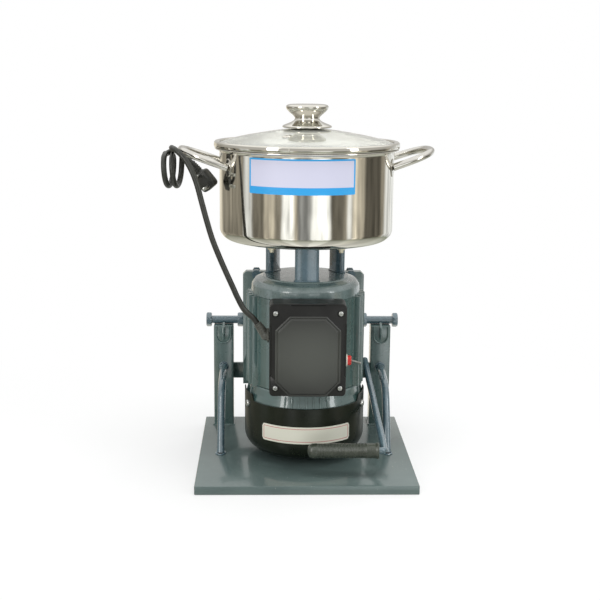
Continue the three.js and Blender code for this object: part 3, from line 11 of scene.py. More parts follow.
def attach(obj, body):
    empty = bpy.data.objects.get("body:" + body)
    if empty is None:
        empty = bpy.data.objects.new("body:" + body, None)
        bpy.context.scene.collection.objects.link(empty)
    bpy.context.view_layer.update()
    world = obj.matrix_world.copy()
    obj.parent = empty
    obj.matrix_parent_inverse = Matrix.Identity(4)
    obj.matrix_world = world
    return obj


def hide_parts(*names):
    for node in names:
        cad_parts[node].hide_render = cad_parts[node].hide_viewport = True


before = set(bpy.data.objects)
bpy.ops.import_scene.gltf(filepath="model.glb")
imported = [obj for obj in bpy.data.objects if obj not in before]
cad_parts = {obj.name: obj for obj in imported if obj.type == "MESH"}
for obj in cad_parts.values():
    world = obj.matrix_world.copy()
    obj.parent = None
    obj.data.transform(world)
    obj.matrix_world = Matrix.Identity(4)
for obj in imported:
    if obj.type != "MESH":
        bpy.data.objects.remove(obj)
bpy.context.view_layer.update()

MM = 0.001
TAU = 2 * math.pi
SIDES = ((-1, "left"), (1, "right"))
STAND, UNIT, ROTOR, LID, TOGGLE = "stand", "tilting_unit", "rotor", "lid", "switch_toggle"
PAINT, DARK, INOX, ZINC = "steel_paint", "dark_paint", "stainless_steel", "zinc_plated_steel"
RUBBER, BLACK, RED, GLASS = "black_rubber", "black_plastic", "red_plastic", "clear_glass"

def add(name, data):
    """A new object in the scene."""
    thing = bpy.data.objects.new(name, data)
    bpy.context.scene.collection.objects.link(thing)
    return thing

# Camera, fitted to the corners of the base plate and the main outlines of the photograph

CAMERA_PLACE = (-0.05507, -1.52494, 0.55455)
CAMERA_YAW, CAMERA_PITCH, CAMERA_ROLL = 0.0312, 0.2077, 0.0099
CAMERA_LENS, CAMERA_SENSOR = 66.0, 36.0

def make_camera():
    forward = Vector((math.sin(CAMERA_YAW) * math.cos(CAMERA_PITCH),
                      math.cos(CAMERA_YAW) * math.cos(CAMERA_PITCH), -math.sin(CAMERA_PITCH)))
    level = Vector((math.cos(CAMERA_YAW), -math.sin(CAMERA_YAW), 0))
    upright = level.cross(forward)
    right = math.cos(CAMERA_ROLL) * level + math.sin(CAMERA_ROLL) * upright
    up = -math.sin(CAMERA_ROLL) * level + math.cos(CAMERA_ROLL) * upright
    data = bpy.data.cameras.new("camera")
    data.lens, data.sensor_width, data.sensor_fit = CAMERA_LENS, CAMERA_SENSOR, "HORIZONTAL"
    data.clip_start, data.clip_end = 0.05, 50
    camera = add("camera", data)
    turn = Matrix((right, up, -forward)).transposed().to_4x4()
    camera.matrix_world = Matrix.Translation(CAMERA_PLACE) @ turn
    bpy.context.scene.camera = camera

make_camera()

# Outlines: lists of plan points

def curve_through(points, steps=6):
    """Centripetal Catmull-Rom curve through the points, as a dense list of points."""
    knots = [Vector(p) for p in points]
    ends = [2 * knots[0] - knots[1], *knots, 2 * knots[-1] - knots[-2]]
    dense = []
    for a, b, c, d in zip(ends, ends[1:], ends[2:], ends[3:]):
        times = [0.0]
        for p, q in ((a, b), (b, c), (c, d)):
            times.append(times[-1] + max((q - p).length, 1e-6) ** 0.5)
        t0, t1, t2, t3 = times
        for i in range(steps):
            t = t1 + (t2 - t1) * i / steps
            ab = a.lerp(b, (t - t0) / (t1 - t0))
            bc = b.lerp(c, (t - t1) / (t2 - t1))
            cd = c.lerp(d, (t - t2) / (t3 - t2))
            abc = ab.lerp(bc, (t - t0) / (t2 - t0))
            bcd = bc.lerp(cd, (t - t1) / (t3 - t1))
            dense.append(abc.lerp(bcd, (t - t1) / (t2 - t1)))
    dense.append(knots[-1].copy())
    return dense

def rounded(points, closed=False, steps=5):
    """Plan points (a, b) or (a, b, radius): a corner with a radius becomes an arc."""
    count = len(points)
    line = []
    for i, point in enumerate(points):
        here = Vector(point[:2])
        radius = point[2] if len(point) > 2 else 0
        if not radius or (not closed and i in (0, count - 1)):
            line.append(here)
            continue
        before = Vector(points[i - 1][:2]) - here
        after = Vector(points[(i + 1) % count][:2]) - here
        opening = before.angle(after)
        reach = min(radius / math.tan(opening / 2), 0.499 * before.length, 0.499 * after.length)
        start, end = here + before.normalized() * reach, here + after.normalized() * reach
        for k in range(steps + 1):
            t = k / steps
            line.append(start.lerp(here, t).lerp(here.lerp(end, t), t))
    return line

def rounded_rectangle(width, height, radius, steps=6):
    x, y = width / 2, height / 2
    corners = [(-x, -y, radius), (x, -y, radius), (x, y, radius), (-x, y, radius)]
    return rounded(corners, True, steps)

def octagon(width, height, corner, radius):
    x, y = width / 2, height / 2
    a, b = x - corner, y - corner
    corners = [(-a, -y), (a, -y), (x, -b), (x, b), (a, y), (-a, y), (-x, b), (-x, -b)]
    return rounded([(*point, radius) for point in corners], True, 3)

def arc(centre, size, start, end, steps):
    """Plan points of an arc. Its angles are degrees from straight down."""
    angles = [math.radians(start + (end - start) * i / steps) for i in range(steps + 1)]
    return [(centre[0] + size * math.sin(a), centre[1] - size * math.cos(a)) for a in angles]

def plan(radius, degrees_from_front, *height):
    """A place about the Z axis, with its height where one is given."""
    angle = math.radians(degrees_from_front) - math.pi / 2
    return (radius * math.cos(angle), radius * math.sin(angle), *height)

# Shapes: each function returns a bmesh in millimetres

def skin(shape, rows):
    """Faces between rows of vertices that go round. A row of one vertex is a point."""
    count = len(max(rows, key=len))
    for low, high in zip(rows, rows[1:]):
        for i in range(count):
            j = (i + 1) % count
            corners = []
            for row, k in ((low, i), (low, j), (high, j), (high, i)):
                if row[k % len(row)] not in corners:
                    corners.append(row[k % len(row)])
            if len(corners) > 2:
                shape.faces.new(corners)
    return shape

def loft(loops, ring=False):
    """Skin over loops that have the same number of points, with caps unless it is a ring."""
    shape = bmesh.new()
    rows = [[shape.verts.new(p) for p in loop] for loop in loops]
    skin(shape, rows + rows[:1] if ring else rows)
    if not ring:
        shape.faces.new(rows[0][::-1])
        shape.faces.new(rows[-1])
    return shape

def lathe(profile, segments=96):
    """Turned body about Z from (radius, height) points. A closed profile ends where it starts."""
    shape = bmesh.new()
    ring = (Vector(profile[0]) - Vector(profile[-1])).length < 1e-6
    rows = []
    for radius, height in (profile[:-1] if ring else profile):
        angles = [TAU * i / segments for i in range(segments if radius > 1e-6 else 1)]
        rows.append([shape.verts.new((radius * math.cos(a), radius * math.sin(a), height))
                     for a in angles])
    return skin(shape, rows + rows[:1] if ring else rows)

def pin(radius, low, high, segments):
    return lathe([(0, low), (radius, low), (radius, high), (0, high)], segments)

def soften(shape, width, segments=2, angle=30):
    """Rounds every edge that turns by more than the angle."""
    sharp = [e for e in shape.edges if len(e.link_faces) == 2 and
             e.calc_face_angle(0) > math.radians(angle)]
    bmesh.ops.bevel(shape, geom=sharp, offset=width, segments=segments, profile=0.5,
                    affect="EDGES", clamp_overlap=True)
    return shape

def prism(outline, low, high, edge=0.0, segments=2):
    """Plan outline raised from low to high along Z."""
    shape = loft([[(x, y, low) for x, y in outline], [(x, y, high) for x, y in outline]])
    bmesh.ops.recalc_face_normals(shape, faces=shape.faces)
    return soften(shape, edge, segments) if edge else shape

def block(low, high, edge=0.6, segments=2):
    (x0, y0, z0), (x1, y1, z1) = low, high
    return prism([(x0, y0), (x1, y0), (x1, y1), (x0, y1)], z0, z1, edge, segments)

def tube(points, radius, sides=20, swell=None):
    """Round bar along dense points. swell(share) scales the radius along it."""
    path = [Vector(p) for p in points]
    last = len(path) - 1
    tangents = [(path[min(i + 1, last)] - path[max(i - 1, 0)]).normalized()
                for i in range(len(path))]
    normal = tangents[0].orthogonal().normalized()
    loops = []
    for i, (place, tangent) in enumerate(zip(path, tangents)):
        normal = (normal - tangent * normal.dot(tangent)).normalized()
        side = tangent.cross(normal)
        size = radius * (swell(i / last) if swell else 1)
        angles = [TAU * k / sides for k in range(sides)]
        loops.append([place + size * (normal * math.cos(a) + side * math.sin(a))
                      for a in angles])
    return loft(loops)

def hexagon(flats, low, high, chamfer):
    """Hexagon with its corners turned off towards both faces, as on a nut."""
    corner = flats / math.sqrt(3)
    drop = (high - low) * chamfer
    loops = []
    for height, limit in ((low, flats / 2), (low + drop, corner), (high - drop, corner),
                          (high, flats / 2)):
        loop = []
        for k in range(48):
            angle = TAU * k / 48
            within = angle % (TAU / 6) - TAU / 12
            reach = min(flats / 2 / math.cos(within), limit)
            loop.append((reach * math.cos(angle), reach * math.sin(angle), height))
        loops.append(loop)
    return loft(loops)

def weld_along(points, radius, seed):
    """Rippled weld bead along a line."""
    dense = []
    for a, b in zip(points, points[1:]):
        a, b = Vector(a), Vector(b)
        count = max(2, int((b - a).length / 0.9))
        dense += [a.lerp(b, i / count) for i in range(count)]
    dense.append(Vector(points[-1]))

    def swell(share):
        ripple = 0.12 * math.sin(share * len(dense) * 1.9)
        return 0.9 + ripple + 0.16 * noise.noise((share * 14, seed, 0.5))

    return tube(dense, radius, 10, swell)

def aim(direction, foot=(0, 0, 0)):
    turn = Vector((0, 0, 1)).rotation_difference(Vector(direction)).to_matrix().to_4x4()
    return Matrix.Translation(foot) @ turn

def shift(x=0, y=0, z=0):
    return Matrix.Translation((x, y, z))

def about_z(degrees):
    return Matrix.Rotation(math.radians(degrees), 4, "Z")

# A shape drawn in the XY plane and raised along Z is stood up: its Y becomes Z, and it rises to -Y
TO_FRONT = Matrix(((1, 0, 0, 0), (0, 0, -1, 0), (0, 1, 0, 0), (0, 0, 0, 1)))
# and here its X becomes Y, its Y becomes Z, and it rises along +X
TO_SIDE = Matrix(((0, 0, 1, 0), (1, 0, 0, 0), (0, 1, 0, 0), (0, 0, 0, 1)))

def placed(shape, matrix):
    bmesh.ops.transform(shape, matrix=matrix, verts=shape.verts)
    return shape

def mesh_of(name, shape):
    mesh = bpy.data.meshes.new(name)
    shape.to_mesh(mesh)
    shape.free()
    return mesh

def together(*shapes):
    whole = bmesh.new()
    for shape in shapes:
        mesh = mesh_of("part", shape)
        whole.from_mesh(mesh)
        bpy.data.meshes.remove(mesh)
    return whole

def cut(shape, *tools):
    """The shape with the tools taken out of it."""
    things = []
    for part in (shape, together(*tools)):
        bmesh.ops.recalc_face_normals(part, faces=part.faces)
        things.append(add("cut", mesh_of("cut", part)))
    body, tool = things
    step = body.modifiers.new("cut", "BOOLEAN")
    step.operation, step.solver, step.object = "DIFFERENCE", "EXACT", tool
    graph = bpy.context.evaluated_depsgraph_get()
    result = bmesh.new()
    result.from_mesh(body.evaluated_get(graph).to_mesh())
    for thing in things:
        mesh = thing.data
        bpy.data.objects.remove(thing)
        bpy.data.meshes.remove(mesh)
    return result

def piece(name, shape, look, node=None, body=UNIT, crease=32):
    """Turns a shape in millimetres into a piece that rides on a body."""
    bmesh.ops.remove_doubles(shape, verts=shape.verts, dist=1e-4)
    bmesh.ops.recalc_face_normals(shape, faces=shape.faces)
    bmesh.ops.scale(shape, vec=(MM, MM, MM), verts=shape.verts)
    mesh = mesh_of(name, shape)
    for polygon in mesh.polygons:
        polygon.use_smooth = True
    mesh.set_sharp_from_angle(angle=math.radians(crease))
    mesh.materials.append(look.material)
    thing = add(name, mesh)
    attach(thing, body)
    if node:
        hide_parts(node)
    return thing

def from_node(name, node, look, edge, segments=2, body=UNIT):
    """A CAD solid with its edges rounded."""
    shape = bmesh.new()
    shape.from_mesh(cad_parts[node].data)
    bmesh.ops.scale(shape, vec=(1 / MM,) * 3, verts=shape.verts)
    bmesh.ops.remove_doubles(shape, verts=shape.verts, dist=1e-3)
    bmesh.ops.dissolve_limit(shape, angle_limit=math.radians(0.5), verts=shape.verts,
                             edges=shape.edges)
    return piece(name, soften(shape, edge, segments), look, node, body)

# Materials

def tone(red, green, blue):
    """Linear colour from sRGB values of 0 to 255."""
    return tuple((c / 255 / 12.92) if c <= 10 else ((c / 255 + 0.055) / 1.055) ** 2.4
                 for c in (red, green, blue)) + (1.0,)

class Graph:
    """Adds nodes to a node tree. Each method returns an output socket."""

    def __init__(self, owner, place="Object"):
        owner.use_nodes = True
        self.nodes, self.links = owner.node_tree.nodes, owner.node_tree.links
        self.place = self.node("TexCoord", out=place)

    def put(self, value, socket):
        """Links another socket, or sets a value on the socket itself."""
        if isinstance(value, bpy.types.NodeSocket):
            self.links.new(value, socket)
        elif value is not None:
            socket.default_value = value

    def node(self, kind, inputs=None, out=0, **settings):
        made = self.nodes.new("ShaderNode" + kind)
        for setting, value in settings.items():
            setattr(made, setting, value)
        for key, value in (inputs or {}).items():
            self.put(value, made.inputs[key])
        return made.outputs[out]

    def math(self, operation, first, second=None):
        return self.node("Math", {0: first, 1: second}, operation=operation)

    def coordinates(self):
        split = self.nodes.new("ShaderNodeSeparateXYZ")
        self.links.new(self.place, split.inputs[0])
        return split.outputs

    def noise(self, scale, detail):
        inputs = {"Vector": self.place, "Scale": scale, "Detail": detail}
        return self.node("TexNoise", inputs, "Fac")

    def spread(self, value, low, high, start=0.3, end=0.7, kind="LINEAR"):
        """Takes the range from start to end to the range from low to high."""
        inputs = {"Value": value, "From Min": start, "From Max": end, "To Min": low, "To Max": high}
        return self.node("MapRange", inputs, interpolation_type=kind)

    def smooth(self, value, start, end):
        return self.spread(value, 0, 1, start, end, "SMOOTHSTEP")

    def blend(self, factor, first, second, kind="MIX"):
        inputs = {"Factor": factor, 6: first, 7: second}
        return self.node("Mix", inputs, 2, data_type="RGBA", blend_type=kind)

    def ramp(self, value, stops):
        """Colours along a value, from stops of a position, a level and a tint."""
        made = self.nodes.new("ShaderNodeValToRGB")
        self.links.new(value, made.inputs["Fac"])
        made.color_ramp.interpolation = "EASE"
        elements = made.color_ramp.elements
        elements.remove(elements[-1])
        for i, (position, level, tint) in enumerate(stops):
            element = elements.new(position) if i else elements[0]
            element.position, element.color = position, (*(level * c for c in tint), 1)
        return made.outputs[0]

    def either(self, factor, first, second):
        return self.node("MixShader", {0: factor, 1: first, 2: second})

    def show(self, shader, kind):
        self.links.new(shader, self.nodes.new("ShaderNodeOutput" + kind).inputs["Surface"])

class Surface(Graph):
    """A Principled material whose colour, roughness and relief come from noise.

    patch and the relief's sizes are millimetres. relief holds a size and a height for each layer,
    and specks the size, share and colour of small grains of dust.
    """

    def __init__(self, name, slot, dark, light, patch, rough, metal=0.0, coat=0.0, relief=(),
                 stretch=None, specks=None, **sockets):
        self.material = bpy.data.materials.new(name)
        super().__init__(self.material)
        self.slot = slot
        self.shader = self.nodes["Principled BSDF"].inputs
        if stretch:
            inputs = {0: self.place, 1: stretch}
            self.place = self.node("VectorMath", inputs, operation="MULTIPLY")
        colour = self.blend(self.spread(self.grain(patch, 4), 0, 1), dark, light)
        if specks:
            size, share, tint = specks
            here = self.spread(self.grain(size, 1), 0, 1, 1 - share, 1 - share + 0.02)
            colour = self.blend(here, colour, tint)
        self.paint(colour)
        self.put(self.spread(self.grain(patch * 0.37, 3), *rough), self.shader["Roughness"])
        values = {"Metallic": metal, "Coat Weight": coat, "Coat Roughness": 0.04}
        values.update((socket.replace("_", " "), value) for socket, value in sockets.items())
        normal = None
        for size, height in relief:
            normal = self.node("Bump", {"Strength": 1.0, "Distance": height * MM,
                                        "Height": self.grain(size, 2), "Normal": normal})
        values.update({"Normal": normal, "Coat Normal": normal if coat else None})
        for socket, value in values.items():
            self.put(value, self.shader[socket])

    def grain(self, size, detail):
        return self.noise(1 / (size * MM), detail)

    def paint(self, colour):
        self.colour = colour
        self.put(colour, self.shader["Base Color"])

GLOSS = dict(Specular_IOR_Level=0.7, Coat_IOR=1.6)
BAR_ENAMEL = dict(patch=25, rough=(0.22, 0.32), coat=1.0, relief=((6, 0.05), (2.2, 0.007)),
                  specks=(1.4, 0.24, tone(140, 156, 158)), **GLOSS)
enamel = Surface("enamel", PAINT, tone(60, 83, 79), tone(73, 98, 96), 55, (0.24, 0.34), coat=0.9,
                 relief=((9, 0.05), (2.6, 0.007)), specks=(1.6, 0.22, tone(120, 138, 140)), **GLOSS)
enamel_plate = Surface("enamel_plate", PAINT, tone(82, 96, 94), tone(93, 108, 105), 70,
                       (0.14, 0.22), coat=0.25, relief=((14, 0.03), (2.5, 0.006)),
                       specks=(1.8, 0.21, tone(170, 176, 174)))
enamel_rod = Surface("enamel_rod", PAINT, tone(66, 88, 96), tone(80, 104, 114), **BAR_ENAMEL)
enamel_post = Surface("enamel_post", PAINT, tone(66, 92, 103), tone(82, 110, 123), **BAR_ENAMEL)
# A lighter copy of the enamel for the upper end shield: painted highlight, for the light that falls on
# its shoulder
cast_paint_painted_light = Surface("cast_paint_painted_light", PAINT, tone(88, 106, 105), tone(108, 126, 125), 18,
                     (0.24, 0.36), coat=0.8, relief=((5, 0.1), (1.6, 0.02)), **GLOSS)
cowl_paint = Surface("cowl_paint", DARK, tone(13, 19, 9), tone(22, 28, 16), 40, (0.26, 0.36),
                     coat=0.06, relief=((7, 0.03), (1.5, 0.01)),
                     specks=(1.2, 0.2, tone(58, 62, 52)), Specular_IOR_Level=0.3)
box_plastic = Surface("box_plastic", BLACK, tone(14, 14, 13), tone(23, 23, 21), 30, (0.3, 0.42),
                      relief=((0.9, 0.01), (12, 0.02)), Specular_IOR_Level=0.35)
panel_plastic = Surface("panel_plastic", BLACK, tone(40, 41, 38), tone(48, 49, 46), 60,
                        (0.34, 0.44), relief=((0.8, 0.015),), Specular_IOR_Level=0.45)

def paint_panel_reflection(look):
    """Painted reflection: the panel's colour is lighter in its middle, as a reflection would make it.
    Sizes are metres.
    """
    x, _, z = look.coordinates()
    across = look.math("DIVIDE", x, 0.075)
    high = look.math("DIVIDE", look.math("SUBTRACT", z, 0.183), 0.05)
    away = look.math("ADD", look.math("POWER", across, 2.0), look.math("POWER", high, 2.0))
    look.paint(look.blend(look.spread(away, 0, 1, 0.0, 1.05), tone(70, 72, 67), look.colour))

paint_panel_reflection(panel_plastic)
rubber = Surface("rubber", RUBBER, tone(62, 63, 57), tone(78, 79, 72), 9, (0.3, 0.42), coat=0.15,
                 relief=((1.1, 0.02),))
cord_rubber = Surface("cord_rubber", RUBBER, tone(28, 29, 24), tone(42, 43, 37), 14, (0.32, 0.44),
                      relief=((1.3, 0.02),))
grip_rubber = Surface("grip_rubber", RUBBER, tone(46, 51, 42), tone(60, 65, 55), 9, (0.24, 0.34),
                      coat=0.35, relief=((1.2, 0.02),))
plug_rubber = Surface("plug_rubber", RUBBER, tone(26, 27, 22), tone(38, 39, 34), 8, (0.32, 0.44),
                      relief=((0.9, 0.015),))
polished = Surface("polished_steel", INOX, tone(206, 203, 194), tone(220, 217, 208), 70,
                   (0.05, 0.09), metal=1.0, relief=((38, 0.05),))
brushed = Surface("brushed_steel", INOX, tone(196, 194, 188), tone(214, 211, 204), 30, (0.1, 0.2),
                  metal=1.0, stretch=(1, 1, 9), relief=((3, 0.01),))
inner_steel = Surface("inner_steel", INOX, tone(190, 188, 182), tone(208, 205, 198), 25,
                      (0.16, 0.26), metal=1.0, stretch=(1, 1, 7), relief=((4, 0.02),))
zinc = Surface("zinc", ZINC, tone(170, 172, 170), tone(206, 208, 204), 4, (0.22, 0.38), metal=1.0,
               relief=((0.9, 0.02),))
dull_steel = Surface("dull_steel", INOX, tone(120, 120, 116), tone(150, 150, 145), 3,
                     (0.25, 0.38), metal=1.0, relief=((0.7, 0.01),))
yellow_zinc = Surface("yellow_zinc", ZINC, tone(206, 200, 176), tone(228, 224, 204), 5,
                      (0.28, 0.42), metal=0.7, relief=((0.9, 0.02),))
red_plastic = Surface("red_plastic", RED, tone(196, 34, 26), tone(222, 52, 40), 6, (0.24, 0.34),
                      relief=((1.0, 0.01),))
cream_plastic = Surface("cream_plastic", RED, tone(214, 216, 200), tone(234, 234, 222), 5,
                        (0.3, 0.42), relief=((1.0, 0.01),))
glass = Surface("clear_glass", GLASS, tone(222, 223, 213), tone(229, 230, 221), 90, (0.03, 0.05),
                coat=0.4, Transmission_Weight=0.68, IOR=1.48, Specular_IOR_Level=0.5)

# Looks of the inner pieces, which keep the shapes and slots of the frame

iron = Surface("bare_iron", None, tone(96, 96, 98), tone(126, 126, 128), 14, (0.35, 0.5),
               metal=1.0, relief=((1.2, 0.03),))
copper = Surface("varnished_copper", None, tone(120, 60, 30), tone(168, 92, 48), 6, (0.25, 0.4),
                 metal=0.6, relief=((0.8, 0.2),), stretch=(1, 1, 5))
black_nylon = Surface("black_nylon", None, tone(26, 26, 25), tone(38, 38, 36), 10, (0.4, 0.55),
                      relief=((0.9, 0.02),))
seal_rubber = Surface("seal_rubber", None, tone(28, 28, 28), tone(40, 40, 39), 8, (0.5, 0.65),
                      relief=((0.8, 0.02),))

# Places and sizes that several pieces share, as in the CAD

PLATE_WIDTH, PLATE_TOP, UPRIGHT_TOP = 300, 12.0, 170.0
UPRIGHT_X, UPRIGHT_HALF = 120.0, 15.0
UPRIGHT_FRONT, UPRIGHT_BACK = 108.0, 138.0
PIVOT_Y, PIVOT_Z = 123.0, 176.3
FRAME_LOW, FRAME_HIGH, FRAME_BORE = 117.5, 246.0, 66
DISC_TOP, DISC_RADIUS = 270.0, 60.6
COWL_RADIUS, COWL_SCREW_ANGLE, COWL_SCREW_Z = 85.5, 70, 90
FOOT_BOLT_X, FOOT_BOLT_ROWS = 70, (255.4, 155.4)
BOX_MIDDLE, BOX_BACK, BOX_FRONT, COVER_FACE = 189.5, -80.3, -117.0, -120.0
BOX_LOW, BOX_HALF = 127, 51
SWITCH_Y, SWITCH_Z = -97.3, 171
LEVER_FRONT, LEVER_Z = -113.0, 48.5
POST_RADIUS, POT_BOLT_CIRCLE = 53, 55.4
POT_BOTTOM, POT_RADIUS = 322.0, 120.3
POT_BOLT_PLACES = [shift(*plan(POT_BOLT_CIRCLE, 60 + 120 * i)) for i in range(3)]

# Cord: from the gland up to the left pot handle, two turns round the end of it, and the plug

CORD_DIAMETER = 7.6
BOOT_LEAN = math.radians(55)
BOOT_DIRECTION = Vector((-math.cos(BOOT_LEAN), 0, math.sin(BOOT_LEAN)))
BOOT_ROOT = Vector((-55.8, -100.3, 206))
BOOT_LENGTH = 20.0
BOOT_TIP = BOOT_ROOT + BOOT_LENGTH * BOOT_DIRECTION
CORD_ROUTE = [
    (-84, -99, 240), (-92, -98, 254), (-100.5, -96, 272.5), (-109.5, -93, 292),
    (-118.5, -90, 312.5), (-127, -87, 334), (-134.5, -83, 358.5), (-141.5, -79, 384),
    (-147, -75.5, 404), (-153.5, -71.5, 420.5), (-163, -66, 436), (-174.5, -59, 446.5),
    (-181.5, -45, 449), (-182.5, -29, 447.5), (-183, -14, 444), (-184.5, -3, 442),
    (-189, 2.5, 440), (-193, -1, 438),
]
COIL_TURNS, COIL_STEPS = 1.8, 24
COIL_ACROSS, COIL_HIGH, COIL_PITCH, COIL_SLANT = 22.0, 20.5, 11.0, 3.5
COIL_START = (-194, -18, 416.5)
TAIL_ROUTE = [(-168.5, -10, 434.8), (-163, -19, 433.3)]
PLUG_START = Vector((-157.5, -27, 428))
PLUG_ALONG = Vector((0.64, -0.12, -0.76)).normalized()
PLUG_FACE = Vector((-0.26, -0.93, -0.07))

def cord_points():
    turns = []
    for i in range(int(COIL_TURNS * COIL_STEPS + 1e-6) + 1):
        turn = i / COIL_STEPS
        angle = TAU * turn
        turns.append(Vector((COIL_START[0] + COIL_PITCH * turn - COIL_SLANT * math.sin(angle) / 2,
                             COIL_START[1] - COIL_ACROSS * math.sin(angle),
                             COIL_START[2] + COIL_HIGH * math.cos(angle))))
    entry = (turns[0] - turns[1]).normalized()
    leave = (turns[-1] - turns[-2]).normalized()
    step = CORD_DIAMETER
    return [
        BOOT_TIP, BOOT_TIP + step * BOOT_DIRECTION, *CORD_ROUTE,
        turns[0] + 1.5 * step * entry, turns[0] + step * entry, *turns,
        turns[-1] + step * leave, turns[-1] + 1.5 * step * leave, *TAIL_ROUTE,
        PLUG_START - 0.5 * step * PLUG_ALONG, PLUG_START,
    ]

def make_cord():
    points = curve_through(cord_points(), 5)
    data = bpy.data.curves.new("power_lead", "CURVE")
    data.dimensions, data.twist_mode = "3D", "MINIMUM"
    data.bevel_depth, data.bevel_resolution = CORD_DIAMETER / 2 * MM, 5
    data.use_fill_caps = True
    line = data.splines.new("POLY")
    line.points.add(len(points) - 1)
    for point, place in zip(line.points, points):
        point.co = (*(place * MM), 1)
    line.use_smooth = True
    data.materials.append(cord_rubber.material)
    lead = add("power_lead", data)
    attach(lead, UNIT)
    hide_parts("power_cord_run", "power_cord_coil", "power_cord_tail")
    length = sum((b - a).length for a, b in zip(points, points[1:])) * MM
    print("cord length", round(length, 4))
    return lead, length

def stood(outline, y, middle=BOX_MIDDLE):
    """An outline that stands in the XZ plane, about a middle height."""
    return [(x, y, z + middle) for x, z in outline]

def make_plug():
    face, neck, body, edge = -8.0, 17.0, 27.0, 2.0
    middle = neck + body / 2
    ribs = [(0, 0), (5.0, 0)]
    for i in range(5):
        low, size = 1.2 + 2.9 * i, 5.2 + 0.32 * i
        ribs += [(size, low), (size, low + 1.7), (size - 0.7, low + 1.9), (size - 0.7, low + 2.7)]
    ribs += [(7.0, neck), (7.0, neck + 6), (0, neck + 6)]

    def slab(inset, y):
        outline = rounded_rectangle(22 - 2 * inset, body - 2 * inset, 6 - inset)
        return stood(outline, y, middle)

    shell = loft([slab(edge, face), slab(0.6, face + 0.6), slab(0, face + edge),
                  slab(0, -face - edge), slab(0.6, -face - 0.6), slab(edge, -face)])
    bar = rounded_rectangle(20.5, 1.5, 0.7)
    grips = [loft([stood(bar, y, middle + 4.2 * row) for y in (-face - 0.8, -face + 0.5)])
             for row in (-1, 0, 1)]
    across = -PLUG_FACE.normalized()
    back = (across - PLUG_ALONG * across.dot(PLUG_ALONG)).normalized()
    basis = Matrix((back.cross(PLUG_ALONG), back, PLUG_ALONG)).transposed().to_4x4()
    stand = Matrix.Translation(PLUG_START) @ basis
    whole = together(lathe(ribs, 40), shell, *grips)
    plug = piece("plug", placed(whole, stand), plug_rubber, "power_plug")
    profile = [(0, 0), (2.4, 0), (2.4, 19.5), (1.9, 20.6), (0, 21)]
    pins = [placed(lathe(profile, 24), aim((0, -1, 0), (0, face + edge, middle + way * 9.5)))
            for way in (-1, 1)]
    return plug, piece("plug_pins", placed(together(*pins), stand), zinc)

lead, lead_length = make_cord()
plug_parts = make_plug()

# Standing part

def make_plate():
    outline = rounded_rectangle(PLATE_WIDTH, PLATE_WIDTH, 2.2, 5)
    piece("base_plate_painted", prism(outline, 0, PLATE_TOP, 0.9, 3), enamel_plate, "base_plate",
          body=STAND)

def make_uprights():
    half, high, weld_reach, weld_z = 12.0, 27.0, 15.4, PLATE_TOP + 0.6
    front, back = UPRIGHT_FRONT, UPRIGHT_BACK
    path = [(half, 0), *arc((0, half - high), half, 90, -90, 16), (-half, 0)]
    fin = rounded([(front + y, UPRIGHT_TOP + z, radius) for y, z, radius in (
        (1, -25, 0), (-2, -21, 3), (-6.6, -12, 4), (-4.4, -2, 3), (6, 4.2, 1.5), (7.6, 4.2, 0),
        (7.6, -3, 0), (1, -8, 0))], True)
    for way, word in SIDES:
        x = way * UPRIGHT_X
        bar = block((x - UPRIGHT_HALF, front, PLATE_TOP), (x + UPRIGHT_HALF, back, UPRIGHT_TOP),
                    1.6, 3)
        lug = placed(prism(path, 0, 1.6, 0.5), TO_FRONT)
        lug = placed(lug, shift(x, front + 0.4, UPRIGHT_TOP - 0.2))
        line = [(x + a * 0.9, front - 1.4, UPRIGHT_TOP - 0.8 + b * 0.96) for a, b in path]
        rim = tube(line, 1.25, 12, lambda share: 1 + 0.1 * noise.noise((share * 9, way, 0)))
        rib = placed(prism(fin, x - 1.9, x + 1.9, 0.9), TO_SIDE)
        piece(f"upright_{word}_painted", together(bar, lug, rim, rib), enamel, f"upright_{word}",
              body=STAND)
        foot = [(x + a * weld_reach, y, weld_z) for a, y in (
            (-1, front - 0.4), (1, front - 0.4), (1, back + 0.4), (-1, back + 0.4), (-1, front - 0.4))]
        piece(f"upright_weld_{word}", weld_along(foot, 1.7, way), enamel, body=STAND)

def make_pivots():
    for way, word in SIDES:
        bolt = together(
            hexagon(19, 0, 8, 0.16),
            lathe([(0, -65), (5.2, -65), (6, -64.2), (6, 1), (0, 1)], 40),
            lathe([(0, 7.9), (7.2, 7.9), (6.6, 8.0), (0, 8.0)], 40),
        )
        for kind, shape, x in (("bolt", bolt, 138.5), ("nut", hexagon(19, 0, 8.7, 0.14), 90.3)):
            matrix = aim((way, 0, 0), (way * x, PIVOT_Y, PIVOT_Z))
            piece(f"pivot_{kind}_{word}_painted", placed(shape, matrix), enamel_rod,
                  f"pivot_{kind}_{word}", body=STAND)

def make_cross_bar():
    bar = block((-135, UPRIGHT_BACK, 79), (135, UPRIGHT_BACK + 5, 104), 1.0)
    piece("rear_cross_bar_painted", bar, enamel, "rear_cross_bar", body=STAND)

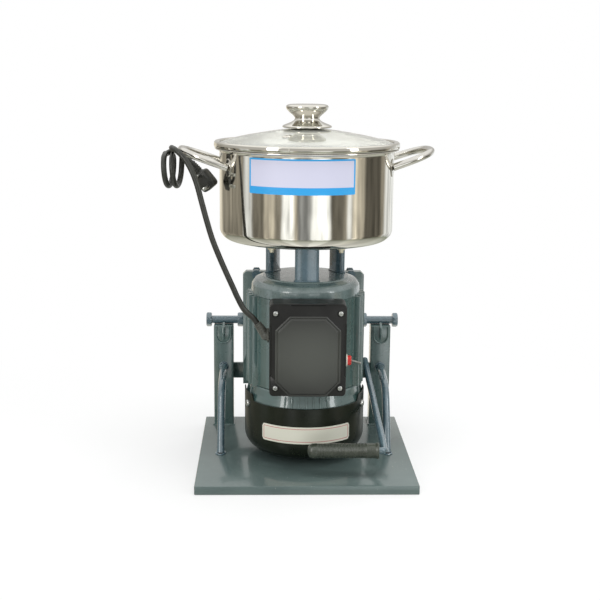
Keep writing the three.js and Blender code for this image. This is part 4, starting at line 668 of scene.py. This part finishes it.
def make_braces():
    shares = [(0, 1), (0.2, 0.99), (0.42, 0.955), (0.58, 0.905), (0.68, 0.82), (0.755, 0.67),
              (0.86, 0.4), (1, 0)]
    deep, high = 128, 94
    wall, foot = UPRIGHT_FRONT - 0.3, PLATE_TOP + 0.3
    for way, word in SIDES:
        x = way * UPRIGHT_X
        line = [(x, wall - deep * forward, foot + high * up) for forward, up in shares]
        rod = tube(curve_through(line, 8), 5.5, 28)
        # both ends are flattened, on to the plate and on to the upright
        for vertex in rod.verts:
            vertex.co.z = max(vertex.co.z, foot)
            vertex.co.y = min(vertex.co.y, wall)
        piece(f"brace_{word}_painted", rod, enamel_rod, f"brace_{word}", body=STAND)
        turns = [TAU * i / 24 for i in range(25)]
        low_ring = [(x + 6.2 * math.cos(a), wall - deep - 0.8 + 8.4 * math.sin(a), PLATE_TOP + 0.9)
                    for a in turns]
        high_ring = [(x + 6.2 * math.cos(a), wall - 0.3, foot + high + 6.2 * math.sin(a))
                     for a in turns]
        welds = [weld_along(ring, 1.5, 3 + way) for ring in (low_ring, high_ring)]
        piece(f"brace_weld_{word}", together(*welds), enamel_rod, body=STAND)

make_plate()
make_uprights()
make_pivots()
make_cross_bar()
make_braces()

# Tilting part: bracket and motor

def make_motor_frame():
    outer, tip, edge = 76.0, 84.0, 0.8
    fin_root, fin_top = math.degrees(2.5 / outer), math.degrees(1.35 / tip)
    points = []
    for i in range(40):
        middle = 9.0 * i
        if 58 < min(middle, 360 - middle) < 128:
            side = [(outer, fin_root + 0.9), (outer + 1, fin_root), (tip - 0.8, fin_top),
                    (tip, fin_top * 0.5)]
            points += [plan(radius, middle - away) for radius, away in side]
            points += [plan(radius, middle + away) for radius, away in reversed(side)]
        else:
            points += [plan(outer, middle + away) for away in (-2.25, 0, 2.25)]
    loops = []
    for inset, height in ((edge, FRAME_LOW), (0, FRAME_LOW + edge), (0, FRAME_HIGH - edge),
                          (edge, FRAME_HIGH)):
        loops.append([(x * (1 - inset / 80), y * (1 - inset / 80), height) for x, y in points])
    angles = [math.atan2(y, x) for x, y in points]
    for height in (FRAME_HIGH, FRAME_LOW):
        loops.append([(FRAME_BORE * math.cos(a), FRAME_BORE * math.sin(a), height) for a in angles])
    foot_low, foot_high, corner, inner, half = 119.0, 259.0, 4.5, 42, 90.0
    feet = []
    for side in (-1, 1):
        outline = rounded([(side * inner, foot_low), (side * half, foot_low, 2),
                           (side * half, foot_high - corner, 1.5),
                           (side * (half - corner), foot_high, 1.5),
                           (side * inner, foot_high, 3)], True, 3)
        feet.append(placed(prism(outline, 0, 8, 0.9), shift(0, 90, 0) @ TO_FRONT))
    webs = [block((x - half_width, front, FRAME_LOW), (x + half_width, 86, FRAME_HIGH), 1)
            for x, half_width, front in ((-50, 4, 60), (50, 4, 60), (0, 8, 72))]
    seat = loft([stood(rounded_rectangle(92 - 2 * inset, 100 - 2 * inset, 4), y)
                 for inset, y in ((1, -80), (0, -79), (0, -40))])
    seat = cut(seat, pin(FRAME_BORE + 0.3, 100, 280, 80))
    piece("motor_frame_painted", together(loft(loops, ring=True), *feet, *webs, seat), enamel,
          "motor_housing")

def make_shields():
    profile = rounded([
        (13.1, 270), (DISC_RADIUS, 270, 1.6), (61.6, 268.2, 1.5), (64, 267.6, 2), (71, 265.5, 6),
        (75.8, 258.5, 5), (76.4, 250), (76.4, 246.2), (75.6, 246), (65.7, 246), (65.7, 241),
        (59.7, 241), (59.7, 252, 3), (48.6, 264), (31.3, 264), (31.3, 248.7), (26.3, 248.7),
        (26.3, 264), (13.1, 264), (13.1, 270)], False, 6)
    piece("upper_end_shield_painted", lathe(profile, 128), cast_paint_painted_light, "upper_end_shield")
    profile = rounded([
        (13.1, 84.3), (82.2, 84.3), (83.2, 85.3), (83.2, 98, 6), (79.6, 107, 9), (77.4, 115.4, 2),
        (76.2, 117.2, 0.5), (65.7, 117.2), (65.7, 122.5), (59.7, 122.5), (59.7, 90), (31.3, 90),
        (31.3, 105.6), (26.3, 105.6), (26.3, 90), (13.1, 90), (13.1, 84.3)], False, 6)
    ribs = []
    for angle in [7 * k for k in range(-3, 4)] + [18 * k for k in range(4, 17)]:
        rib = loft([[(x, y, z) for x, y in rounded_rectangle(w, d, 1.0, 3)] for w, d, z in (
            (2.8, 8.0, 86), (2.6, 8.0, 100), (2.2, 4.4, 107.5), (1.4, 1.8, 112.6))])
        ribs.append(placed(rib, about_z(angle) @ shift(0, -79.5, 0)))
    piece("lower_end_shield_painted", together(lathe(profile, 128), *ribs), enamel,
          "lower_end_shield")

def ear(angle):
    """Share of the cowl ear's height at an angle from the front, in degrees."""
    start, end, ramp = 60, 97, 3.0
    angle = abs((angle + 180) % 360 - 180)
    return max(0.0, min(1.0, (angle - start) / ramp + 0.5, (end - angle) / ramp + 0.5))

def shell_walls(radius, corner, wall, bottom, starts, steps):
    """Outer and inner line of a round shell's floor, from the middle out, up to its wall."""
    centre = (radius - corner, bottom + corner)
    return [[(start, z) for start in starts] + arc(centre, size, 0, 90, steps)
            for z, size in ((bottom, corner), (bottom + wall, corner - wall))]

def make_cowl():
    radius, wall, top, rise, segments = COWL_RADIUS, 1.2, 97.8, 9.2, 240
    outside, inside = shell_walls(radius, 25.0, wall, 20.0, (0, 20, 40), 10)
    # the rim has no height of its own: it follows the ears, and its edges lie a little lower
    rim = [(radius, None, 0.35), (radius - 0.4, None, 0), (radius - wall + 0.2, None, 0),
           (radius - wall, None, 0.35)]
    flat = [(r, z, 0) for r, z in outside + inside[::-1]]
    shape = bmesh.new()
    rows = []
    for r, z, drop in flat[:len(outside)] + rim + flat[len(outside):]:
        row = []
        for k in range(segments if r else 1):
            degrees = 360 * k / segments
            height = top + rise * ear(degrees) - drop if z is None else z
            row.append(shape.verts.new(plan(r, degrees, height)))
        rows.append(row)
    slots = [placed(prism(rounded_rectangle(33, 5, 2.4, 4), 16, 25), about_z(30 * i) @ shift(40.5))
             for i in range(12)]
    piece("fan_cowl_painted", cut(skin(shape, rows), *slots), cowl_paint, "fan_cowl", crease=40)

def pan_head(radius, height):
    """Screw head with a cross recess."""
    head = lathe(rounded([(0, -0.4), (radius, -0.4), (radius, height * 0.35, 0.5),
                          (radius * 0.72, height * 0.92, radius * 0.6), (0, height)]), 32)
    for turn in (45, 135):
        arm = loft([[(x, y, z) for x, y in rounded_rectangle(w, d, 0.3, 2)] for w, d, z in (
            (radius * 0.9, 0.5, height - 1.7), (radius * 1.25, 1.0, height + 0.5))])
        head = cut(head, placed(arm, about_z(turn)))
    return head

def make_cowl_screws():
    for way, word in SIDES:
        head = together(pan_head(5.0, 3.0), pin(2.5, -8, 0, 20))
        out = plan(1, way * COWL_SCREW_ANGLE, 0)
        foot = plan(COWL_RADIUS + 0.3, way * COWL_SCREW_ANGLE, COWL_SCREW_Z)
        piece(f"cowl_screw_{word}_zinc", placed(head, aim(out, foot)), zinc, f"cowl_screw_{word}")

def make_foot_bolts():
    places = [(way * FOOT_BOLT_X, height) for height in FOOT_BOLT_ROWS for way in (-1, 1)]
    for number, (x, z) in enumerate(places, 1):
        bolt = together(hexagon(13, -5.3, 0, 0.16),
                        lathe([(0, -3), (4, -3), (4, 22.6), (3.4, 23.4), (0, 23.4)], 24),
                        hexagon(13, 14.6, 19.9, 0.16))
        piece(f"foot_bolt_{number}_dark", placed(bolt, aim((0, 1, 0), (x, 81.7, z))), enamel_rod,
              f"foot_bolt_{number}")

from_node("tilt_bracket_painted", "tilt_bracket", enamel, 0.9)
make_motor_frame()
make_shields()
make_cowl()
make_cowl_screws()
make_foot_bolts()

# Terminal box with its cover, switch and gland

def lugged(inset, waist=2.6, lug=25.0):
    """Outline of the box's cover, a little narrower between its corners."""
    x, z = BOX_HALF - inset, 62.5 - inset
    quarter = [(x - waist, z - lug - 3, 1.5), (x, z - lug, 1.5), (x, z, 6 - inset),
               (x - lug, z, 2), (x - lug - 3, z - waist * 0.5, 1.5)]
    corners = quarter + [(-a, b, r) for a, b, r in reversed(quarter)]
    corners += [(-a, -b, r) for a, b, r in quarter] + [(a, -b, r) for a, b, r in reversed(quarter)]
    return rounded(corners, True, 5)

def make_box():
    loops = [stood(rounded_rectangle(2 * (BOX_HALF - inset), 125 - 2 * inset, 6 - inset), y)
             for inset, y in ((0.8, BOX_BACK), (0, BOX_BACK - 0.8), (0, BOX_FRONT + 0.7),
                              (0.8, BOX_FRONT + 0.1), (3, BOX_FRONT + 0.1), (3, BOX_BACK - 3))]
    piece("terminal_box_moulded", loft(loops), box_plastic, "terminal_box")
    cover = loft([stood(lugged(inset), y) for inset, y in (
        (0.9, BOX_FRONT - 0.05), (0.3, BOX_FRONT - 0.5), (0.3, COVER_FACE + 0.9),
        (0.7, COVER_FACE + 0.25), (1.5, COVER_FACE))])
    piece("terminal_box_cover_moulded", cover, box_plastic, "terminal_box_cover", crease=40)
    width, height = 87, 109
    panel = loft([
        stood(octagon(width - 2 * inset, height - 2 * inset, 19 - 0.6 * inset, 2.2),
              COVER_FACE - rise, BOX_LOW + height / 2)
        for inset, rise in ((0, -1.0), (0, 0.3), (0.9, 1.0), (1.5, 1.2), (2.2, 1.2), (2.7, 0.8),
                            (3.2, 1.2), (3.9, 2.4), (4.8, 2.9), (6.2, 3.0))])
    piece("terminal_box_panel", panel, panel_plastic, crease=40)
    places = [(side * 43, BOX_LOW + height) for height in (11.5, 113) for side in (-1, 1)]
    for i, (x, z) in enumerate(places):
        seat = lathe([(4.0, -0.9), (5.0, -0.9), (5.0, 0.3), (4.6, 0.6), (4.2, 0.3), (4.0, -0.9)],
                     32)
        head = together(pan_head(3.5, 2.6), pin(2, -11, 0, 16))
        matrix = aim((0, -1, 0), (x, COVER_FACE - 0.3, z)) @ about_z(17 * i)
        piece(f"cover_screw_{i + 1}_zinc", placed(head, matrix), zinc, f"cover_screw_{i + 1}")
        piece(f"cover_screw_seat_{i + 1}", placed(seat, matrix), box_plastic)

def make_switch():
    place = aim((1, 0, 0), (BOX_HALF, SWITCH_Y, SWITCH_Z))
    flange = lathe(rounded([(5.6, 0.3), (8.25, 0.3, 0.4), (8.25, 2.7, 0.5), (6.2, 2.7), (6.2, 1.2),
                            (5.6, 1.2), (5.6, 0.3)]), 48)
    flange = together(flange, block((-14, -6.5, -19.3), (14, 6.5, -3.3), 0.8))
    collar = lathe(rounded([(3.6, 1.4), (6.5, 1.4), (6.5, 7.4, 0.7), (5.4, 8.0, 0.4),
                            (4.0, 8.0, 0.3), (3.6, 7.0), (3.6, 1.4)]), 48)
    bushing = lathe([(0, -3.3), (5.5, -3.3), (5.5, 1.5), (3.3, 1.5), (3.3, 4.5), (0, 4.5)], 40)
    piece("switch_flange", placed(flange, place), cream_plastic, "switch_body")
    piece("switch_collar", placed(together(collar, bushing), place), red_plastic)
    lean = math.radians(18)
    bat = lathe(rounded([(0, -2.6), (1.3, -2.2, 0.6), (1.3, 3), (1.4, 9), (1.8, 12.2, 1.0),
                         (1.5, 14, 1.0), (0, 14.0)]), 28)
    matrix = aim((math.cos(lean), 0, -math.sin(lean)), (BOX_HALF + 8, SWITCH_Y, SWITCH_Z))
    piece("switch_bat", placed(bat, matrix), dull_steel, "switch_lever", body=TOGGLE)

def make_gland():
    flange = together(pin(5.5, -3.3, 0.4, 32), hexagon(17, 0.3, 3.3, 0.14), pin(7, 3, 4.8, 40))
    flange = placed(flange, aim((-1, 0, 0), (-BOX_HALF, BOOT_ROOT.y, BOOT_ROOT.z)))
    ball = lathe(arc((0, 0), 7, 0, 180, 16), 40)
    profile = [(0, 0), (7.0, 0)]
    count = 6
    for i in range(count):
        low, size = 0.6 + 3.1 * i, 7.0 - 1.45 * (i + 0.5) / count
        profile += [(size, low), (size - 0.1, low + 1.9), (size - 0.8, low + 2.2),
                    (size - 0.8, low + 3.0)]
    profile += [(5.5, 19.4), (5.0, 20), (3.9, 20), (0, 19.9)]
    boot = placed(lathe(profile, 40), aim(BOOT_DIRECTION, BOOT_ROOT))
    piece("cable_gland_boot", together(flange, placed(ball, shift(*BOOT_ROOT)), boot), rubber,
          "cable_gland")

make_box()
make_switch()
make_gland()

# Tilt lever and its grip

def make_lever():
    root, low, offset, bend = Vector((95.05, 96, 120)), LEVER_Z, 105.5, 5.5
    front = LEVER_FRONT
    run = Vector((offset - root.x, -(root.y - front - bend), low - root.z))
    slope = run.z / run.y
    line = [root, root + run / 3, root + run * 2 / 3,
            (offset, front + bend * 4 / 3, low + slope * bend / 3),
            (offset - bend * 0.12, front + bend * 0.5, low),
            (offset - bend * 0.5, front + bend * 0.12, low),
            (offset - bend, front, low), (offset - bend * 2, front, low),
            ((offset + 1) / 2, front, low), (5.3, front, low)]
    piece("tilt_lever_painted", tube(curve_through(line, 10), 4.75, 28), enamel_rod, "tilt_lever")

def make_grip():
    length, radius = 96.5, 10.25
    profile = [(0, 0), (3.2, 0.15), (5.6, 0.9), (7.8, 2.4), (9.3, 4.6), (10.0, 7.0), (radius, 9.5)]
    groove = [(0, 0), (0.12, 0.35), (0.55, 0.7), (0.55, 1.1), (0.12, 1.5)]
    start, pitch = 13.0, 2.0
    for i in range(33):
        profile += [(radius - deep, start + pitch * i + along) for deep, along in groove]
    profile += [(radius, 80.5), (radius, length - 5), (radius + 0.35, length - 3.4),
                (radius + 1, length - 2.6), (radius + 1, length - 0.5), (radius + 0.6, length),
                (5.2, length), (5.0, length - 1), (5.0, 4.3), (0, 4.3)]
    grip = placed(lathe(profile, 56), aim((1, 0, 0), (1, LEVER_FRONT, LEVER_Z)))
    piece("lever_grip_ribbed", grip, grip_rubber, "lever_grip", crease=50)

make_lever()
make_grip()

# Posts, pot plate and pot bolts

def make_posts():
    half, end, steps = 12.5, 4.0, 12
    face = [-half + 2 * half * k / steps for k in range(steps + 1)]
    edge = [(across, -5.5 + 1.5 * (across / half) ** 2) for across in face]
    edge += arc((half, 0), end, 0, 180, 8)[1:-1]
    outline = [(-way * a, way * b) for way in (-1, 1) for a, b in edge]
    for i, word in enumerate(("front", "right", "left")):
        column = prism(outline, DISC_TOP, DISC_TOP + 46)
        seam = [(x * 1.02, y * 1.05, DISC_TOP + 0.9) for x, y in outline]
        weld = weld_along(seam + seam[:1], 1.2, i)
        matrix = about_z(120 * i) @ shift(0, -POST_RADIUS, 0)
        piece(f"post_{word}_painted", placed(column, matrix), enamel_post, f"post_{word}")
        piece(f"post_weld_{word}", placed(weld, matrix), enamel_post)

def bolt_holes(low):
    return [placed(pin(3.3, low, 326, 20), place) for place in POT_BOLT_PLACES]

def make_pot_plate():
    low = POT_BOTTOM - 6
    ring = lathe(rounded([(18.3, low), (60.5, low, 0.8), (60.5, POT_BOTTOM, 0.8),
                          (18.3, POT_BOTTOM), (18.3, low)]), 112)
    piece("pot_mount_plate_painted", cut(ring, *bolt_holes(310)), enamel_rod, "pot_mount_plate")
    for i, place in enumerate(POT_BOLT_PLACES):
        bolt = together(
            lathe(rounded([(0, 323.8), (6, 323.8), (6, 325, 0.6), (4, 327.1, 2), (0, 327.1)]), 32),
            lathe([(0, 305.5), (2.4, 305.5), (3, 306.2), (3, 324.1), (0, 324.1)], 24),
            hexagon(10, 309.7, 315.7, 0.16),
        )
        piece(f"pot_bolt_{i + 1}_zinc", placed(bolt, place), yellow_zinc, f"pot_bolt_{i + 1}")

make_posts()
make_pot_plate()

# Pot with its handles

def make_pot():
    wall, hole, seat = 1.5, 18.3, 60
    outside, inside = shell_walls(POT_RADIUS, 16.0, wall, POT_BOTTOM, (hole, seat), 12)
    lip = rounded([(POT_RADIUS, 439), (POT_RADIUS, 442.4, 3), (121.6, 445.2, 2), (125.5, 445.6, 1),
                   (127, 446.4, 0.8), (126.6, 447.8, 0.7), (122, 448, 1.2), (118.8, 446.6, 2),
                   (118.8, 442)], False, 4)
    pot = lathe([*outside, (POT_RADIUS, 380), *lip, (118.8, 380), *inside[::-1], outside[0]], 160)
    piece("pot_polished", cut(pot, *bolt_holes(318)), polished, "pot_body", crease=50)

def make_handles():
    shares = [(0, 1), (0.26, 1), (0.5, 0.97), (0.71, 0.86), (0.87, 0.66), (0.965, 0.42),
              (0.995, 0.2)]
    wall = POT_RADIUS + 0.3
    root_z, half, rod = 424.0, 47.0, 5
    root_u = math.sqrt(wall * wall - half * half)
    reach = 177 - rod - root_u
    climb = math.tan(math.radians(19))

    def place(forward, across):
        return Vector((root_u + reach * forward, half * across, root_z + reach * forward * climb))

    side = [place(*share) for share in shares]
    mirrored = [(p.x, -p.y, p.z) for p in reversed(side)]
    dense = curve_through([*side, place(1, 0), *mirrored], 8)
    lead_in = Vector((1.2, 0, 1.2 * climb))
    dense[0] = dense[0] + lead_in
    dense[-1] = dense[-1] + lead_in
    turns = [TAU * k / 36 for k in range(36)]
    for turn, word in ((5, "right"), (185, "left")):
        pads = []
        for way in (-1, 1):
            middle = math.asin(way * half / wall)
            loops = []
            for share, thick in ((0.94, 0.0), (0.94, 0.5), (0.9, 0.8), (0.84, 0.95), (0.7, 1.05),
                                 (0.4, 1.1)):
                out = wall + thick - 0.15
                angles = [middle + 9.5 * share * math.cos(a) / wall for a in turns]
                loops.append([(math.cos(angle) * out, math.sin(angle) * out,
                               root_z + 13 * share * math.sin(a))
                              for a, angle in zip(turns, angles)])
            pads.append(loft(loops))
        bar = together(tube(dense, rod, 28), *pads)
        piece(f"pot_handle_{word}_polished", placed(bar, about_z(turn)), brushed,
              f"pot_handle_{word}")

def sticker(radius, middle, width, low, high, corner):
    """Thin sticker that follows a round wall. Angles are degrees from the front."""
    columns, steps = 72, 6
    shape = bmesh.new()
    layers = []
    for lift in (0.02, 0.22):
        rows = []
        for i in range(columns + 1):
            across = width * (i / columns - 0.5)
            edge = max(0.0, corner - (width / 2 - abs(across)))
            drop = corner - math.sqrt(max(0.0, corner * corner - edge * edge))
            angle = middle + math.degrees(across / radius)
            heights = [low + drop + (high - low - 2 * drop) * k / steps for k in range(steps + 1)]
            rows.append([shape.verts.new(plan(radius + lift, angle, z)) for z in heights])
        layers.append(rows)
    below, above = layers
    for rows in layers:
        for a, b in zip(rows, rows[1:]):
            for k in range(steps):
                shape.faces.new((a[k], b[k], b[k + 1], a[k + 1]))
    for a, b, c, d in zip(below, below[1:], above[1:], above):
        for k in (0, steps):
            shape.faces.new((a[k], b[k], c[k], d[k]))
    for i in (0, columns):
        for k in range(steps):
            shape.faces.new((below[i][k], below[i][k + 1], above[i][k + 1], above[i][k]))
    return shape

def label_look(name, slot, field, edge_colour, place, corner, inset, line, band):
    """Pale printed label with a plain border line and perhaps a band at its foot."""
    look = Surface(name, slot, field, tuple(c * 0.97 for c in field[:3]) + (1.0,), 120,
                   (0.34, 0.4))
    do = look.math
    width, height = place["width"], place["high"] - place["low"]
    x, y, z = look.coordinates()
    angle = do("SUBTRACT", do("ARCTAN2", x, do("MULTIPLY", y, -1.0)), math.radians(place["middle"]))
    across = do("MULTIPLY", angle, place["radius"])
    middle = (place["low"] + place["high"]) / 2 * MM
    along = do("MULTIPLY", do("SUBTRACT", z, middle), 1 / MM)
    u = do("SUBTRACT", do("ABSOLUTE", across), width / 2 - corner)
    v = do("SUBTRACT", do("ABSOLUTE", along), height / 2 - corner)
    outside = do("SQRT", do("ADD", do("POWER", do("MAXIMUM", u, 0.0), 2.0),
                            do("POWER", do("MAXIMUM", v, 0.0), 2.0)))
    inside = do("MINIMUM", do("MAXIMUM", u, v), 0.0)
    depth = do("SUBTRACT", corner, do("ADD", outside, inside))
    here = do("MULTIPLY", do("GREATER_THAN", depth, inset), do("LESS_THAN", depth, inset + line))
    if band:
        here = do("MAXIMUM", here, do("LESS_THAN", along, -height / 2 + band))
    look.paint(look.blend(look.spread(here, 0, 1, 0.4, 0.6), look.colour, edge_colour))
    return look

def make_labels():
    place = dict(radius=POT_RADIUS, middle=-5.3, width=146.0, low=395.0, high=441.0)
    look = label_look("pot_label_print", INOX, tone(206, 206, 225), tone(44, 158, 222), place,
                      corner=0.6, inset=0.0, line=2.3, band=9.5)
    piece("pot_label", sticker(**place, corner=0.6), look, crease=50)
    place = dict(radius=COWL_RADIUS, middle=0.4, width=134.0, low=48.0, high=72.0)
    look = label_look("cowl_label_print", DARK, tone(222, 220, 204), tone(186, 60, 72), place,
                      corner=4.0, inset=2.6, line=0.7, band=0)
    piece("cowl_label", sticker(**place, corner=4.0), look, crease=50)

make_pot()
make_handles()
make_labels()

# Lid

def make_lid():
    bottom, top, rim_radius = 448.3, 456.9, 128
    rim = rounded([
        (116.8, 443.3), (118.2, 443.3), (118.2, 448.3), (126.4, 448.3, 0.6), (127.6, 449.0, 1),
        (rim_radius, 451.6, 2), (127.6, 455.4, 1.6), (126, 456.9, 1.4), (121.5, 456.9, 1.2),
        (120, 456.0, 0.8), (120, 455.1), (126.2, 455.1), (126.2, 450.5), (116.8, 450.5),
        (116.8, 443.3)], False, 4)
    seam = block((-0.5, -1.2, bottom + 0.6), (0.5, 0.15, top - 0.6), 0.12)
    seam = placed(seam, about_z(-12) @ shift(0, -rim_radius, 0))
    piece("lid_rim_polished", together(lathe(rim, 160), seam), polished, "lid_rim", body=LID,
          crease=50)
    flat, rise, reach, hole, edge, wall = 454.8, 20, 119.4, 5.3, 125.9, 4
    dome = curve_through([(reach * out, flat + rise * up) for out, up in (
        (0, 1), (0.2, 0.94), (0.48, 0.7), (0.8, 0.34), (1, 0))], 8)
    dome = [(max(r, hole), z) for r, z in dome] + [(edge, flat)]
    inner = [(r, z - wall) for r, z in reversed(dome)]
    piece("lid_glass_dome", lathe(dome + inner + dome[:1], 144), glass, "lid_glass", body=LID,
          crease=60)
    shares = [(0.98, 0), (1, 0.012), (1, 0.04), (0.985, 0.075), (0.9, 0.125), (0.72, 0.2),
              (0.6, 0.262), (0.53, 0.315), (0.505, 0.37), (0.505, 0.42), (0.57, 0.505),
              (0.69, 0.61), (0.785, 0.71), (0.84, 0.79), (0.859, 0.855), (0.85, 0.91),
              (0.81, 0.95), (0.72, 0.98), (0.5, 0.996)]
    low, high, radius = 475.1, 32, 34
    outline = curve_through([(radius * out, low + high * up) for out, up in shares], 5)
    knob = lathe([(0, low), *outline, (0, low + high)], 112)
    piece("lid_knob_polished", together(knob, pin(5, 468.2, low + 1, 32)), polished, "lid_knob",
          body=LID, crease=45)
    washer = lathe(rounded([(5.2, 467.9), (22, 466.9, 0.4), (22, 468.0, 0.4), (5.2, 469.4),
                            (5.2, 467.9)]), 72)
    piece("lid_knob_washer", together(washer, hexagon(13, 462.2, 467.8, 0.16)), inner_steel,
          body=LID)
    ring = lathe(rounded([(2.2, -4.6), (4.6, -4.6), (4.6, 0.2), (6.4, 0.2), (6.4, 1.2, 0.5),
                          (2.9, 2.2, 0.5), (2.2, 1.7), (2.2, -4.6)]), 40)
    vent = Vector((-29.0, -64.0, 0))
    lean = vent.normalized() * 0.2 + Vector((0, 0, 1))
    piece("lid_steam_vent", placed(ring, aim(lean, (vent.x, vent.y, 465.9))), polished, body=LID)

make_lid()

# Inside: blade, nut and shaft are dressed, and the other inner pieces keep the frame's shapes

from_node("chopping_blade_ground", "chopping_blade", brushed, 0.35, 1, ROTOR)
from_node("blade_nut_turned", "blade_nut", brushed, 0.4, 2, ROTOR)
SHAFT = [(0, 46), (10.6, 46), (11, 46.4), (11, 72.3), (12.1, 72.3), (12.5, 72.8), (12.5, 270),
         (12, 270), (12, 329.8), (8, 329.8), (8, 361.9), (6, 361.9), (6, 375.6), (5.4, 376.1),
         (0, 376.1)]
piece("motor_shaft_turned", lathe(SHAFT, 48), brushed, "motor_shaft", body=ROTOR)

for node, look in (("upper_bearing", iron), ("lower_bearing", iron), ("stator_core", iron),
                   ("stator_winding", copper), ("rotor_core", iron), ("run_capacitor", black_nylon),
                   ("shaft_seal", seal_rubber), ("cooling_fan", black_nylon)):
    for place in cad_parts[node].material_slots:
        place.material = look.material

# Studio: pale floor, soft lights and a plain world. Lengths are metres.

FLOOR_RADIUS, FLOOR_DROP = 1.6, 0.0004

def make_floor():
    shape = bmesh.new()
    bmesh.ops.create_circle(shape, cap_ends=True, radius=FLOOR_RADIUS, segments=96)
    mesh = mesh_of("floor", shape)
    floor = add("floor", mesh)
    floor.location.z = -FLOOR_DROP
    floor.visible_glossy = False
    material = bpy.data.materials.new("floor")
    material.use_nodes = True
    material.node_tree.nodes.clear()
    graph = Graph(material)
    matt = graph.node("BsdfDiffuse", {"Color": (0.82, 0.82, 0.81, 1)})
    glow = graph.node("Emission", {"Color": (1, 1, 1, 1)})
    away = graph.node("VectorMath", {0: graph.place}, "Value", operation="LENGTH")
    fade = graph.spread(away, 0.55, 1.0, 0.25, 0.75, "SMOOTHSTEP")
    seen = graph.either(fade, matt, glow)
    from_camera = graph.node("LightPath", out="Is Camera Ray")
    graph.show(graph.either(from_camera, matt, seen), "Material")
    mesh.materials.append(material)

# Positions round the room run from 0 to 1, each with a level and a tint
WARM, COOL = (1.0, 0.92, 0.76), (0.98, 1.0, 1.0)
ROOM_WALLS = [
    (0.0, 0.34, COOL), (0.028, 0.36, COOL), (0.042, 0.8, WARM), (0.066, 1.6, COOL),
    (0.09, 1.5, COOL), (0.1, 0.32, WARM), (0.114, 0.34, WARM), (0.126, 0.8, WARM),
    (0.155, 0.75, WARM), (0.17, 0.24, WARM), (0.205, 0.28, WARM), (0.226, 1.0, COOL),
    (0.25, 0.85, COOL), (0.264, 0.34, WARM), (0.385, 0.36, WARM), (0.44, 0.8, WARM),
    (0.58, 0.9, COOL), (0.605, 0.92, COOL), (0.655, 0.88, COOL), (0.676, 0.42, WARM),
    (0.705, 0.14, WARM), (0.77, 0.12, WARM), (0.786, 0.6, WARM), (0.81, 0.7, WARM),
    (0.822, 1.1, WARM), (0.845, 1.05, COOL), (0.86, 0.5, WARM), (0.875, 0.18, WARM),
    (0.913, 0.2, WARM), (0.93, 1.6, COOL), (0.978, 1.5, COOL), (0.992, 0.45, COOL),
]
ROOM_GROUND = [
    (0.0, 0.9, (1.0, 1.0, 0.97)), (0.4, 0.68, (0.98, 1.0, 0.92)), (0.52, 0.56, (0.98, 1.0, 0.9)),
    (0.6, 0.42, (0.96, 1.0, 0.85)), (0.68, 0.29, (0.91, 1.0, 0.75)),
]

def make_world():
    """White for the camera and for rays through glass, and an even pale light on matt surfaces.

    Mirrored rays see a pale backdrop above the horizon, and a plain room of lighter and darker
    walls and its ground below it.
    """
    world = bpy.data.worlds.new("studio")
    bpy.context.scene.world = world
    world.use_nodes = True
    world.node_tree.nodes.clear()
    graph = Graph(world, "Generated")
    x, y, height = graph.coordinates()

    def shaken(value, scale, low, high):
        return graph.math("ADD", value, graph.spread(graph.noise(scale, 3), low, high))

    turn = graph.spread(graph.math("ARCTAN2", x, y), 0, 1, -math.pi, math.pi)
    walls = graph.ramp(shaken(turn, 2.6, -0.006, 0.006), ROOM_WALLS)
    streaks = graph.spread(graph.noise(9, 3), 0.5, 1.2)
    ground = graph.ramp(shaken(height, 4, 1.02, 0.98), ROOM_GROUND)
    low = graph.blend(graph.smooth(shaken(height, 5, -0.02, 0.02), -0.3, -0.36),
                      graph.blend(1.0, walls, streaks, "MULTIPLY"),
                      graph.blend(0.3, ground, walls, "MULTIPLY"))
    high = graph.blend(graph.smooth(height, 0.3, 0.6), (0.54, 0.53, 0.51, 1),
                       (1.08, 1.08, 1.07, 1))
    whole = graph.blend(graph.smooth(height, -0.04, 0.1), low, high)
    room = graph.node("Background", {"Color": whole, "Strength": 1.15})
    soft = graph.node("Background", {"Color": (0.86, 0.88, 0.9, 1), "Strength": 0.5})
    white = graph.node("Background", {"Color": (1, 1, 1, 1)})
    rays = graph.nodes.new("ShaderNodeLightPath").outputs
    mirrored = graph.either(rays["Is Glossy Ray"], soft, room)
    clear = graph.math("MAXIMUM", rays["Is Camera Ray"], rays["Is Transmission Ray"])
    graph.show(graph.either(clear, mirrored, white), "World")

LAMP_TARGET = Vector((0, 0, 0.25))

def make_lamp(name, place, width, height, power, colour=(1, 1, 1), glint=True):
    data = bpy.data.lights.new(name, "AREA")
    data.shape, data.size, data.size_y = "RECTANGLE", width, height
    data.energy, data.color = power, colour
    lamp = add(name, data)
    lamp.location = place
    lamp.rotation_mode = "QUATERNION"
    lamp.rotation_quaternion = (LAMP_TARGET - Vector(place)).to_track_quat("-Z", "Y")
    lamp.visible_glossy, lamp.visible_camera = glint, False

make_floor()
make_world()
make_lamp("lamp_top", (0.1, -0.3, 2.0), 1.6, 1.2, 28, glint=False)
make_lamp("lamp_left", (-1.35, -1.45, 1.0), 0.5, 1.5, 11, (1, 0.99, 0.97))
make_lamp("lamp_right", (1.6, -1.1, 1.0), 0.35, 1.4, 8, (0.97, 0.99, 1))
make_lamp("lamp_fill", (-0.4, -2.2, 1.0), 1.4, 1.2, 7, glint=False)
make_lamp("lamp_back", (0.4, 1.6, 1.2), 1.2, 0.8, 12, glint=False)

scene = bpy.context.scene
scene.view_settings.view_transform = "Standard"
